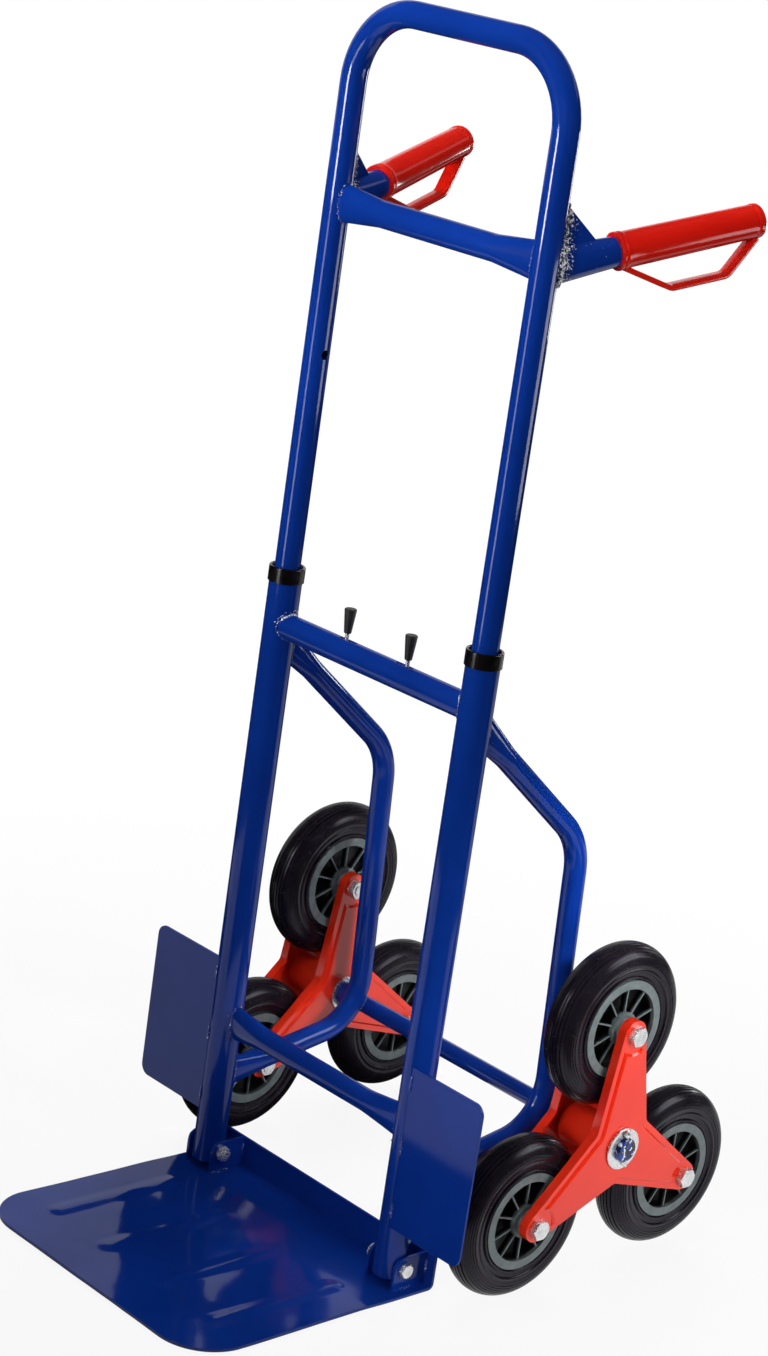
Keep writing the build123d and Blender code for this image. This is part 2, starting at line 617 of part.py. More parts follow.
def hinge_bolts():
    """A bolt through both lugs and the upright on each side, its domed head outwards."""
    bolts = []
    for side in (-1, 1):
        head = side * (HALF_TRACK + LUG_OUTER_FACE)
        end = side * (HALF_TRACK - LUG_OUTER_FACE - HINGE_NUT_HEIGHT - HINGE_DOME)
        bolt = rod_x(HINGE_BOLT_D / 2, end, head, z=HINGE_Z)
        bolt += hexagon_x(HINGE_HEAD_AF, head, head + side * HINGE_HEAD_HEIGHT, 0, HINGE_Z)
        bolts.append(bolt)
    return Compound(children=bolts)


def hinge_nuts():
    nuts = []
    for side in (-1, 1):
        face = side * (HALF_TRACK - LUG_OUTER_FACE)
        nut = hexagon_x(HINGE_HEAD_AF, face, face - side * HINGE_NUT_HEIGHT, 0, HINGE_Z)
        nuts.append(nut - rod_x(HINGE_BOLT_D / 2, face - side * HINGE_NUT_HEIGHT, face, z=HINGE_Z))
    return Compound(children=nuts)


def arm_places():
    """Centres of the wheels on the star's plane, the first one on top."""
    return [Rot(0, 0, i * ARM_STEP) * Pos(0, STAR_RADIUS) for i in range(STAR_ARMS)]


def star_outline():
    """Outline of a star: a waist circle drawn out to a lobe round each wheel bolt."""
    outline = Sketch()
    for place in arm_places():
        edges = Circle(STAR_WAIST_RADIUS).edges() + (place * Circle(STAR_LOBE_RADIUS)).edges()
        outline += make_hull(edges)
    inside = outline.vertices().filter_by(lambda v: v.center().length < STAR_RADIUS / 2)
    return fillet(inside, STAR_INSIDE_RADIUS)


def star_plate():
    """A pressed star on the XY plane, its flange downwards and its raised panel upwards."""
    outline = star_outline()
    inner = offset(outline, -STAR_SHEET)
    pan = extrude(outline, -STAR_FLANGE)
    pan -= Pos(0, 0, -STAR_SHEET) * extrude(inner, -STAR_FLANGE)
    panel = offset(outline, -STAR_PANEL_INSET)
    for place in arm_places():
        panel -= place * Circle(STAR_PAD_RADIUS)
    raised = extrude(panel, STAR_PANEL_RISE)
    raised = chamfer(raised.faces().sort_by(Axis.Z)[-1].edges(), STAR_PANEL_SLOPE)
    pan += raised
    pan -= Pos(0, 0, -STAR_SHEET) * extrude(offset(panel, -STAR_SHEET), STAR_PANEL_RISE)
    pan -= Cylinder(AXLE_JOURNAL_D / 2 + GAP, STAR_HALF_DEPTH)
    for place in arm_places():
        pan -= place * Cylinder(WHEEL_BOLT_D / 2, STAR_HALF_DEPTH)
    return pan


def star_face(side, outer):
    """Plane of a star plate's face: the axle's axis is its Z, pointing out of the plate."""
    sign = side if outer else -side
    x = side * WHEEL_X + sign * STAR_HALF_DEPTH
    plane = Plane(origin=(x, HUB_Y, HUB_Z), x_dir=(0, sign, 0), z_dir=(sign, 0, 0))
    return plane * Rot(0, 0, -sign * STAR_TILT)


def wheel_centres():
    """(y, z) of the wheels of a star, which is turned a little until its front wheel is on the floor."""
    angles = [radians(i * ARM_STEP + STAR_TILT) for i in range(STAR_ARMS)]
    return [(HUB_Y + STAR_RADIUS * sin(a), HUB_Z + STAR_RADIUS * cos(a)) for a in angles]


def star_bars(make):
    """One bar for each wheel of the star on the right."""
    return Compound(children=[make(y, z) for y, z in wheel_centres()])


def wheel_bolt(y, z):
    face = WHEEL_X + STAR_HALF_DEPTH
    end = WHEEL_X - STAR_HALF_DEPTH - WHEEL_NUT_HEIGHT - HEX_CHAMFER
    head = hexagon_x(WHEEL_BOLT_AF, face, face + WHEEL_BOLT_HEAD, y, z)
    return head + rod_x(WHEEL_BOLT_D / 2, end, face, y, z)


def wheel_nut(y, z):
    face = WHEEL_X - STAR_HALF_DEPTH
    nut = hexagon_x(WHEEL_BOLT_AF, face, face - WHEEL_NUT_HEIGHT, y, z)
    return nut - rod_x(WHEEL_BOLT_D / 2, face - WHEEL_NUT_HEIGHT, face, y, z)


def wheel_sleeve(y, z):
    half = STAR_HALF_DEPTH - STAR_SHEET
    sleeve = rod_x(WHEEL_SLEEVE_OD / 2, WHEEL_X - half, WHEEL_X + half, y, z)
    return sleeve - rod_x(WHEEL_BOLT_D / 2, WHEEL_X - half, WHEEL_X + half, y, z)


def hub_tube():
    """The tube welded between the two plates of a star."""
    half = STAR_HALF_DEPTH - STAR_SHEET
    outer = rod_x(STAR_TUBE_OD / 2, WHEEL_X - half, WHEEL_X + half, HUB_Y, HUB_Z)
    return outer - rod_x(STAR_TUBE_OD / 2 - STAR_TUBE_WALL, WHEEL_X - half, WHEEL_X + half, HUB_Y, HUB_Z)


def hub_bushes():
    """Plastic bushes in both ends of the hub tube, which run on the axle."""
    half = STAR_HALF_DEPTH - STAR_SHEET
    bushes = []
    for end in (-1, 1):
        x0, x1 = WHEEL_X + end * half, WHEEL_X + end * (half - HUB_BUSH_LENGTH)
        bush = rod_x(STAR_TUBE_OD / 2 - STAR_TUBE_WALL, x0, x1, HUB_Y, HUB_Z)
        bushes.append(bush - rod_x(AXLE_JOURNAL_D / 2 + RUN, x0, x1, HUB_Y, HUB_Z))
    return Compound(children=bushes)


def revolved(profile):
    """A ring from a profile drawn with radius as X and width as Y, turned about the axle's axis."""
    ring = revolve(Plane.XZ * profile, Axis.Z)
    return Rot(0, 90, 0) * ring


def tyre():
    """A solid rubber tyre about the X axis: round crown, grooved shoulders, side ridges and a bead."""
    half = WHEEL_WIDTH / 2
    seat, bead = RIM_SEAT_RADIUS, TYRE_BEAD_HALF_WIDTH
    shoulder = (TYRE_SHOULDER_RADIUS, TYRE_SHOULDER_HALF_WIDTH)
    widest = (TYRE_WIDEST_RADIUS, half)
    crown = ThreePointArc((shoulder[0], -shoulder[1]), (WHEEL_R, 0), shoulder)
    upper = TangentArc(shoulder, widest, tangent=(crown % 1))
    wall = Line(widest, (seat, bead))
    right = Curve() + [upper, wall]
    left = mirror(right, about=Plane.XZ)
    profile = make_face([crown, *right.edges(), *left.edges(), Line((seat, -bead), (seat, bead))])
    groove = RIM_GROOVE_HALF_WIDTH
    profile += Pos(seat - RIM_GROOVE_DEPTH / 2, 0) * Rectangle(RIM_GROOVE_DEPTH, 2 * groove)
    for i in range(TREAD_GROOVES):
        width = (i - (TREAD_GROOVES - 1) / 2) * TREAD_PITCH
        profile -= Pos(crown_radius(width), width) * Rectangle(2 * TREAD_GROOVE_DEPTH, TREAD_GROOVE_WIDTH)
    for i in range(SHOULDER_GROOVES):
        t = (i + 0.3) / SHOULDER_GROOVES
        point, along = upper @ t, upper % t
        place = Pos(point.X, point.Y) * Rot(0, 0, degrees(atan2(-along.X, along.Y)))
        cut = place * Rectangle(2 * SHOULDER_GROOVE_DEPTH, SHOULDER_GROOVE_WIDTH)
        profile -= cut
        profile -= mirror(cut, about=Plane.XZ)
    ridge = wall @ ((SIDE_RIDGE_DROP - TYRE_WIDEST_DROP) / (TYRE_WIDEST_RADIUS - seat))
    for end in (-1, 1):
        ridge_y = end * (ridge.Y + SIDE_RIDGE_RISE - SIDE_RIDGE_RADIUS)
        profile += Pos(ridge.X, ridge_y) * Circle(SIDE_RIDGE_RADIUS)
        place = Pos(seat + 2 * SIDE_BEAD_RADIUS, end * (bead + SIDE_BEAD_RADIUS))
        profile += place * Circle(SIDE_BEAD_RADIUS)
    return revolved(profile)


def crown_radius(width):
    """Radius of the tyre's crown at a distance from its middle."""
    rise = WHEEL_R - TYRE_SHOULDER_RADIUS
    bow = (TYRE_SHOULDER_HALF_WIDTH ** 2 + rise ** 2) / (2 * rise)
    return WHEEL_R - bow + sqrt(bow ** 2 - width ** 2)


def rim():
    """A plastic rim about the X axis: a ring with a groove for the tyre, a web, spokes and a hub."""
    half = RIM_HALF_WIDTH
    bore = WHEEL_SLEEVE_OD / 2 + RUN

    def band(inner, outer, half_width):
        return Pos((inner + outer) / 2, 0) * Rectangle(outer - inner, 2 * half_width)

    profile = band(RIM_RING_INSIDE, RIM_SEAT_RADIUS, half)
    profile -= band(RIM_SEAT_RADIUS - RIM_GROOVE_DEPTH, RIM_SEAT_RADIUS, RIM_GROOVE_HALF_WIDTH)
    profile += band(bore, RIM_RING_INSIDE, RIM_WEB / 2)
    profile += band(bore, RIM_HUB_RADIUS, half)
    profile += band(bore, RIM_BOSS_RADIUS, STAR_HALF_DEPTH - STAR_SHEET - GAP)
    body = revolved(profile)
    spoke = Box(RIM_SPOKE_DEPTH, RIM_SPOKE_WIDTH, RIM_RING_INSIDE - RIM_HUB_RADIUS + 2 * RIM_SPOKE_ROOT)
    for face in (-1, 1):
        x = face * (half - RIM_SPOKE_INSET - RIM_SPOKE_DEPTH / 2)
        place = Pos(x, 0, (RIM_RING_INSIDE + RIM_HUB_RADIUS) / 2)
        for i in range(RIM_SPOKES):
            body += Rot(360 / RIM_SPOKES * i, 0, 0) * place * spoke
    return body


def build_frame():
    save(lock_cross_tube(), "lock_cross_tube")
    lower = cross_tube(LOWER_CROSS_Z, LOWER_CROSS_OD, LOWER_CROSS_END)
    for side in (-1, 1):
        lower -= rod_z(UPRIGHT_R, 0, UPRIGHT_TOP_Z, x=side * HALF_TRACK)
    save(lower, "lower_cross_tube")
    save(axle(), "axle")
    save(washers(), "axle_washers")
    save(split_pins(), "axle_split_pins")
    stop = rod_x(LOCK_BORE, -SPRING_STOP_LENGTH / 2, SPRING_STOP_LENGTH / 2, z=LOCK_Z)
    save(stop, "lock_spring_stop")
    for side in (-1, 1):
        name = side_name(side)
        save(upright(side), f"{name}_upright_tube")
        save(stay(side), f"{name}_wheel_stay")
        save(guide_bush(side), f"{name}_guide_bush")
        save(wing(side), f"{name}_load_wing")
        save(spring(side), f"{name}_lock_spring")
        save(plunger(side), f"{name}_lock_plunger")
        save(knob(side), f"{name}_lock_knob")


def build_handle():
    save(handle_loop(), "handle_loop_tube")
    cross = cross_tube(HANDLE_CROSS_Z, HANDLE_CROSS_OD, HANDLE_CROSS_END)
    for side in (-1, 1):
        cross -= leg_bar(side)
    save(cross, "handle_cross_tube")
    save(leg_plugs(), "leg_plugs")
    plates = []
    for side in (-1, 1):
        name = side_name(side)
        save(grip_stub(side), f"{name}_grip_stub")
        save(grip(side), f"{name}_grip")
        plates.append(gusset(side))
    save(Compound(children=plates), "grip_gussets")


def build_toe_plate():
    save(toe_plate(), "toe_plate")
    save(lugs(), "hinge_lugs")
    save(hinge_bolts(), "hinge_bolts")
    save(hinge_nuts(), "hinge_nuts")


def build_stars():
    plate = star_plate()
    pieces = {
        "hub_tube": hub_tube(),
        "hub_bushes": hub_bushes(),
        "wheel_bolts": star_bars(wheel_bolt),
        "wheel_nuts": star_bars(wheel_nut),
        "wheel_sleeves": star_bars(wheel_sleeve),
    }
    rubber, plastic = tyre(), rim()
    for side in (-1, 1):
        name = side_name(side)
        save(star_face(side, True) * plate, f"{name}_star_outer_plate")
        save(star_face(side, False) * plate, f"{name}_star_inner_plate")
        for node, shape in pieces.items():
            save(shape if side > 0 else mirror(shape, about=Plane.YZ), f"{name}_{node}")
        for place, (y, z) in zip(("top", "rear", "front"), wheel_centres()):
            centre = Pos(side * WHEEL_X, y, z)
            save(centre * rubber, f"{name}_{place}_tyre")
            save(centre * plastic, f"{name}_{place}_rim")


os.makedirs("parts", exist_ok=True)
build_frame()
build_handle()
build_toe_plate()
build_stars()
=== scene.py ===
import json
import random
from math import ceil, cos, hypot, pi, radians, sin, tan

import bpy
import numpy as np
from mathutils import Matrix, Vector, noise


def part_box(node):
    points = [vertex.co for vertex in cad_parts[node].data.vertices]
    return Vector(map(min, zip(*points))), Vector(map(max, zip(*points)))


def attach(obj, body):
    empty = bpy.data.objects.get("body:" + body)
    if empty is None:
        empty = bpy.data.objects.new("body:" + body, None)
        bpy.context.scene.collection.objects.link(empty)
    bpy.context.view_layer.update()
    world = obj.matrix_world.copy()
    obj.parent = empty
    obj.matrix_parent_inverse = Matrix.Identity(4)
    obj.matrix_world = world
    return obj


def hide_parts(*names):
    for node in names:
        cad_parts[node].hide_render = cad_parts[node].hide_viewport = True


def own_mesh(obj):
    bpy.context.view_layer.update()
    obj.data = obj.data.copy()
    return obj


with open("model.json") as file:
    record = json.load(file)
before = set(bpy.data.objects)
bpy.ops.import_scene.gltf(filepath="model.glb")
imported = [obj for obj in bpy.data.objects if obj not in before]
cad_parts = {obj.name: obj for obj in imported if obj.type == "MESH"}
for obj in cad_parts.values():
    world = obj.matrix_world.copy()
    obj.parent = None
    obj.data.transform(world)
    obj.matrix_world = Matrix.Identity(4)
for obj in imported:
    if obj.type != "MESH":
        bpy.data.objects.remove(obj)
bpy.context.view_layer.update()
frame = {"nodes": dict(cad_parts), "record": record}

nodes = frame["nodes"]
SIDES = {"left": -1, "right": 1}
MM = 0.001


def middle(node):
    low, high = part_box(node)
    return (low + high) / 2


def extent(node):
    low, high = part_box(node)
    return high - low


def rgb(r, g, b):
    return (r, g, b, 1.0)


# Places read from the frame
half_track = middle("right_upright_tube").x
upright_radius = extent("right_upright_tube").x / 2
leg_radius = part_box("handle_loop_tube")[1].x - half_track
wheel_x = middle("right_top_tyre").x
hub = middle("axle")


class Shader:
    """A material with one Principled shader, and short calls for the nodes that feed it."""

    def __init__(self, name, **values):
        self.material = bpy.data.materials.new(name)
        self.material.use_nodes = True
        self.tree = self.material.node_tree
        self.bsdf = self.tree.nodes["Principled BSDF"]
        self.coords = self.tree.nodes.new("ShaderNodeTexCoord").outputs["Object"]
        for socket, value in values.items():
            self.feed(socket, value)

    def plug(self, socket, value):
        if isinstance(value, bpy.types.NodeSocket):
            self.tree.links.new(value, socket)
        else:
            socket.default_value = value

    def feed(self, socket, value):
        """Set or link an input of the Principled shader, named with underscores."""
        self.plug(self.bsdf.inputs[socket.replace("_", " ")], value)

    def add(self, kind, inputs, output=0, **settings):
        """Add a node, set its inputs by name or number and return one of its outputs."""
        node = self.tree.nodes.new("ShaderNode" + kind)
        for key, value in settings.items():
            setattr(node, key, value)
        for key, value in inputs.items():
            self.plug(node.inputs[key], value)
        return node.outputs[output]

    def noise(self, scale, detail=2.0, roughness=0.5, stretch=(1, 1, 1)):
        where = self.add("Mapping", {"Vector": self.coords, "Scale": stretch})
        inputs = {"Vector": where, "Scale": scale, "Detail": detail, "Roughness": roughness}
        return self.add("TexNoise", inputs)

    def remap(self, value, low, high, to_low=0.0, to_high=1.0):
        inputs = {"Value": value, "From Min": low, "From Max": high, "To Min": to_low, "To Max": to_high}
        return self.add("MapRange", inputs)

    def math(self, operation, a, b=0.0):
        return self.add("Math", {0: a, 1: b}, operation=operation)

    def axis(self, name):
        """One coordinate of the point in the frame at rest, in metres."""
        return self.add("SeparateXYZ", {0: self.coords}, output=name)

    def blend(self, amount, first, second):
        """Mix two colours."""
        return self.add("Mix", {0: amount, 6: first, 7: second}, output=2, data_type="RGBA")

    def relief(self, *layers, round_edges=0.0, coat=False):
        """Stack layers of (height, distance in metres) into the normal, over softly rounded edges."""
        normal = self.add("Bevel", {"Radius": round_edges}, samples=4) if round_edges else None
        for height, distance in layers:
            inputs = {"Strength": 1.0, "Distance": distance, "Height": height}
            if normal:
                inputs["Normal"] = normal
            normal = self.add("Bump", inputs)
        self.feed("Normal", normal)
        if coat:
            self.feed("Coat_Normal", normal)


# Finishes

def enamel(name, main, shade, speck, coat):
    """Sprayed enamel: a faint mottle, orange peel, dust specks and a clear gloss."""
    s = Shader(name, Specular_IOR_Level=0.0, Coat_Weight=coat, Coat_Roughness=0.08, Coat_IOR=1.5)
    mottle = s.remap(s.noise(9, detail=4), 0.35, 0.65)
    dust = s.remap(s.noise(1300, detail=1), 0.73, 0.8, 0.0, 0.7)
    s.feed("Base_Color", s.blend(dust, s.blend(mottle, shade, main), speck))
    s.feed("Roughness", s.remap(s.noise(60, detail=5), 0.3, 0.7, 0.3, 0.45))
    layers = [(s.noise(70, detail=1), 60e-6), (s.noise(330, detail=1.5), 16e-6)]
    s.relief(*layers, round_edges=0.6 * MM, coat=True)
    return s.material


def thick_enamel(start):
    """Enamel on the axle, thick and lumpy with painted glints and painted dark reflections on its tips, from
    a distance off the middle.
    """
    s = Shader("thick_enamel", Specular_IOR_Level=0.0, Coat_Weight=1.0, Coat_Roughness=0.08, Coat_IOR=1.5)
    tip = s.remap(s.math("ABSOLUTE", s.axis("X")), start, start + 1.0 * MM)
    # Painted dark reflections and painted white glints on the tips of the axle.
    painted_dark_reflection = s.math("MULTIPLY", tip, s.remap(s.noise(150, detail=2), 0.42, 0.52))
    painted_glint = s.math("MULTIPLY", tip, s.remap(s.noise(210, detail=1.5), 0.6, 0.63))
    blue = s.blend(s.remap(s.noise(9, detail=4), 0.35, 0.65), BLUE_SHADE, BLUE)
    s.feed("Base_Color", s.blend(painted_glint, s.blend(painted_dark_reflection, blue, rgb(0.0, 0.004, 0.03)), rgb(0.75, 0.78, 0.84)))
    s.feed("Roughness", s.remap(s.noise(60, detail=5), 0.3, 0.7, 0.3, 0.45))
    lumps = s.math("MULTIPLY", s.noise(190, detail=1), tip)
    s.relief((s.noise(70, detail=1), 60e-6), (lumps, 1.2 * MM), coat=True)
    return s.material


def spatter_and_painted_shade_enamel(legs_at, near, far):
    """Enamel on the pieces welded to the legs: painted shade and painted sparkle highlights near the leg over
    a spattered relief, plain further out.
    """
    s = Shader("spatter_and_painted_shade_enamel", Specular_IOR_Level=0.0, Coat_Weight=0.8, Coat_Roughness=0.08, Coat_IOR=1.5)
    across = s.math("SUBTRACT", s.math("ABSOLUTE", s.axis("X")), legs_at)
    spoke = s.add("CombineXYZ", {0: across, 1: s.axis("Y")})
    shade_and_spatter_near_leg = s.remap(s.add("VectorMath", {0: spoke}, output="Value", operation="LENGTH"), near, far, 1.0, 0.0)
    grain = s.math("ADD", s.noise(460, detail=3, roughness=0.7), s.math("MULTIPLY", shade_and_spatter_near_leg, 0.22))
    painted_sparkle_spots = s.remap(grain, 0.7, 0.73)
    blue = s.blend(s.remap(s.noise(9, detail=4), 0.35, 0.65), BLUE_SHADE, BLUE)
    # Painted shade: near-black navy near the leg; the white spots are painted sparkle highlights.
    s.feed("Base_Color", s.blend(painted_sparkle_spots, s.blend(shade_and_spatter_near_leg, blue, rgb(0.0, 0.01, 0.07)), rgb(0.9, 0.92, 0.96)))
    s.feed("Roughness", s.remap(s.noise(60, detail=5), 0.3, 0.7, 0.3, 0.45))
    s.relief((s.noise(70, detail=1), 60e-6), (s.math("MULTIPLY", grain, shade_and_spatter_near_leg), 0.4 * MM), coat=True)
    return s.material


def welded_enamel(name, main, painted_sparkle, sparkle_from):
    """Enamel over a weld, with bright spots of painted sparkle highlights."""
    s = Shader(name, Specular_IOR_Level=0.4, Coat_Weight=0.9, Coat_Roughness=0.05)
    painted_sparkle_spots = s.remap(s.noise(520, detail=3, roughness=0.7), sparkle_from, sparkle_from + 0.05)
    # The spots are painted sparkle highlights in the given colour.
    s.feed("Base_Color", s.blend(painted_sparkle_spots, main, painted_sparkle))
    s.feed("Roughness", s.remap(s.noise(300, detail=2), 0.3, 0.7, 0.12, 0.3))
    s.relief((s.noise(420, detail=3), 0.5 * MM), coat=True)
    return s.material


def moulded_red():
    """Glossy moulded plastic with faint flow marks along the grip."""
    s = Shader("moulded_red", Specular_IOR_Level=0.22)
    flow = s.remap(s.noise(16, detail=4, stretch=(1, 0.3, 1)), 0.3, 0.7)
    s.feed("Base_Color", s.blend(flow, rgb(0.7, 0.008, 0.004), rgb(0.88, 0.018, 0.007)))
    s.feed("Roughness", s.remap(s.noise(120, detail=4), 0.3, 0.7, 0.1, 0.16))
    s.relief((s.noise(40, detail=2), 0.07 * MM), (s.noise(1500, detail=2), 0.002 * MM))
    return s.material


def moulded_black(name, dark, light, roughness):
    """Black plastic with a fine grain."""
    s = Shader(name, Specular_IOR_Level=0.4)
    tone = s.remap(s.noise(90, detail=4), 0.35, 0.65)
    s.feed("Base_Color", s.blend(tone, dark, light))
    s.feed("Roughness", s.remap(s.noise(260, detail=3), 0.3, 0.7, roughness, roughness + 0.1))
    s.relief((s.noise(900, detail=2), 0.012 * MM), round_edges=0.4 * MM)
    return s.material


def rubber():
    """Black tyre rubber: satin, a little dusty, with a fine grain."""
    s = Shader("rubber", Specular_IOR_Level=0.22, Specular_Tint=rgb(0.88, 0.86, 1.0))
    dust = s.remap(s.noise(35, detail=6, roughness=0.65), 0.45, 0.75)
    s.feed("Base_Color", s.blend(dust, rgb(0.008, 0.006, 0.01), rgb(0.016, 0.012, 0.019)))
    s.feed("Roughness", s.remap(s.noise(160, detail=4), 0.3, 0.7, 0.2, 0.28))
    s.relief((s.noise(60, detail=2), 0.1 * MM), (s.noise(2200, detail=2), 0.004 * MM), round_edges=0.4 * MM)
    return s.material


def rim_plastic():
    """Grey moulded plastic, with deep shade painted round its web."""
    s = Shader("rim_plastic", Specular_IOR_Level=0.4)
    off_web = s.math("ABSOLUTE", s.math("SUBTRACT", s.math("ABSOLUTE", s.axis("X")), wheel_x))
    out_of_painted_shade = s.remap(off_web, 12.0 * MM, 14.6 * MM)
    tone = s.remap(s.noise(120, detail=4), 0.3, 0.7)
    grey = s.blend(tone, rgb(0.11, 0.14, 0.145), rgb(0.17, 0.205, 0.21))
    # Painted shade: near-black within 12 mm of the wheel's middle plane.
    s.feed("Base_Color", s.blend(out_of_painted_shade, rgb(0.002, 0.0025, 0.003), grey))
    s.feed("Roughness", s.remap(s.noise(240, detail=3), 0.3, 0.7, 0.3, 0.45))
    s.relief((s.noise(1500, detail=2), 0.03 * MM), round_edges=0.4 * MM)
    return s.material


def plated(name, dark, light, roughness):
    """Plated steel with a faint clouded passivation."""
    s = Shader(name, Metallic=0.75)
    cloud = s.remap(s.noise(160, detail=5, roughness=0.6), 0.3, 0.7)
    s.feed("Base_Color", s.blend(cloud, dark, light))
    s.feed("Roughness", s.remap(s.noise(500, detail=3), 0.3, 0.7, roughness, roughness + 0.12))
    s.relief((s.noise(400, detail=2), 0.003 * MM), round_edges=0.5 * MM)
    return s.material


def nylon():
    """Milky bearing plastic."""
    s = Shader("nylon", Specular_IOR_Level=0.4)
    s.feed("Base_Color", s.blend(s.noise(80, detail=3), rgb(0.62, 0.6, 0.52), rgb(0.74, 0.72, 0.64)))
    s.feed("Roughness", s.remap(s.noise(200, detail=2), 0.3, 0.7, 0.35, 0.5))
    s.relief((s.noise(1200, detail=2), 0.03 * MM))
    return s.material


BLUE = rgb(0.004, 0.039, 0.32)
BLUE_SHADE = rgb(0.003, 0.031, 0.265)
BLUE_SPECK = rgb(0.05, 0.09, 0.36)
RED = rgb(0.95, 0.036, 0.01)
RED_SHADE = rgb(0.86, 0.026, 0.008)
RED_SPECK = rgb(0.8, 0.1, 0.07)
BLACK = rgb(0.002, 0.0015, 0.002)
BLACK_WORN = rgb(0.006, 0.0045, 0.0055)
# White of the painted sparkle highlights on welds.
WHITE_PAINTED_SPARKLE = rgb(0.95, 0.97, 1.0)
# Reach of the painted shade and the spatter relief round the legs.
SHADE_AND_SPATTER_NEAR = 2 * MM
SHADE_AND_SPATTER_FAR = 17 * MM

finishes = {
    "blue_enamel": enamel("blue_enamel", BLUE, BLUE_SHADE, BLUE_SPECK, coat=0.5),
    "red_enamel": enamel("red_enamel", RED, RED_SHADE, RED_SPECK, coat=1.0),
    "zinc_steel": plated("zinc_steel", rgb(0.6, 0.61, 0.63), rgb(0.88, 0.88, 0.88), 0.2),
    "spring_steel": plated("spring_steel", rgb(0.34, 0.34, 0.35), rgb(0.5, 0.5, 0.5), 0.25),
    "grip_red": moulded_red(),
    "black_plastic": moulded_black("black_plastic", BLACK, BLACK_WORN, 0.16),
    "rim_grey": rim_plastic(),
    "nylon": nylon(),
    "tyre_rubber": rubber(),
}
for part in frame["record"]["subparts"]:
    mesh = nodes[part["node"]].data
    mesh.materials.clear()
    mesh.materials.append(finishes[part["material_slot"]])
knob_finish = moulded_black("knob_plastic", rgb(0.008, 0.008, 0.009), rgb(0.02, 0.02, 0.022), 0.42)
for node in ("left_lock_knob", "right_lock_knob"):
    nodes[node].data.materials[0] = knob_finish
nodes["axle"].data.materials[0] = thick_enamel(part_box("axle_washers")[1].x)
spatter_and_shade_finish = spatter_and_painted_shade_enamel(half_track, leg_radius + SHADE_AND_SPATTER_NEAR, leg_radius + SHADE_AND_SPATTER_FAR)
for node in ("grip_gussets", "left_grip_stub", "right_grip_stub"):
    nodes[node].data.materials[0] = spatter_and_shade_finish


# Pieces

def add_piece(name, points, faces, finish, body, sharp=40):
    """A smooth mesh with sharp creases over an angle, which rides on a body."""
    mesh = bpy.data.meshes.new(name)
    mesh.from_pydata([tuple(p) for p in points], [], faces)
    mesh.polygons.foreach_set("use_smooth", [True] * len(mesh.polygons))
    mesh.set_sharp_from_angle(angle=radians(sharp))
    mesh.materials.append(finish)
    piece = bpy.data.objects.new(name, mesh)
    bpy.context.scene.collection.objects.link(piece)
    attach(piece, body)
    return piece


def grid_faces(rows, columns, first=0, wrap_rows=False, wrap_columns=False, flip=False):
    """Quads of a grid of points, which may close on itself either way."""
    faces = []
    for i in range(rows if wrap_rows else rows - 1):
        for j in range(columns if wrap_columns else columns - 1):
            below, right = (i + 1) % rows, (j + 1) % columns
            quad = [i * columns + j, i * columns + right, below * columns + right, below * columns + j]
            faces.append([first + k for k in (reversed(quad) if flip else quad)])
    return faces


def spread(start, stop, step):
    """Even stations from start up to, but not including, stop."""
    count = max(ceil((stop - start) / step), 1)
    return list(np.linspace(start, stop, count, endpoint=False))


def soft_step(value):
    value = min(max(value, 0.0), 1.0)
    return value * value * (3 - 2 * value)


# Toe plate

TOE_SHEET = 3.0 * MM
TOE_CORNER = 52.0 * MM
TOE_BEND = 6.0 * MM
RIB_COUNT = 4
RIB_PITCH = 80.0 * MM
RIB_LENGTH = 169.0 * MM
RIB_WIDTH = 30.0 * MM
RIB_RISE = 0.9 * MM
RIB_CENTRE_Y = -127.5 * MM
LIP_RISE = 0.5 * MM
LIP_WIDTH = 70.0 * MM
TOE_WAVE = 1.0 * MM
TOE_EDGE_ROUND = 0.9 * MM
FINE_STEP = 1.3 * MM
RIB_STEP = 1.2 * MM
PLAIN_STEP = 5.0 * MM
BACK_STEP = 6.0 * MM
rib_places = [(i - (RIB_COUNT - 1) / 2) * RIB_PITCH for i in range(RIB_COUNT)]
toe_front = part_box("toe_plate")[0].y


def toe_rise(x, y):
    """Height of the pressed sheet over a flat one: rounded ribs, a faint front lip and shallow waves."""
    rise = LIP_RISE * soft_step((toe_front + LIP_WIDTH - y) / LIP_WIDTH)
    for rib_x in rib_places:
        along = max(abs(y - RIB_CENTRE_Y) - (RIB_LENGTH - RIB_WIDTH) / 2, 0.0)
        off = min(hypot(x - rib_x, along) / (RIB_WIDTH / 2), 1.0)
        rise += RIB_RISE * cos(off * pi / 2) ** 2
    calm = soft_step((-0.015 - y) / 0.06)
    wave = noise.noise(Vector((x * 11, y * 8, 2.7))) + 0.4 * noise.noise(Vector((x * 26, y * 22, 7.1)))
    return rise + TOE_WAVE * calm * (1 + wave)


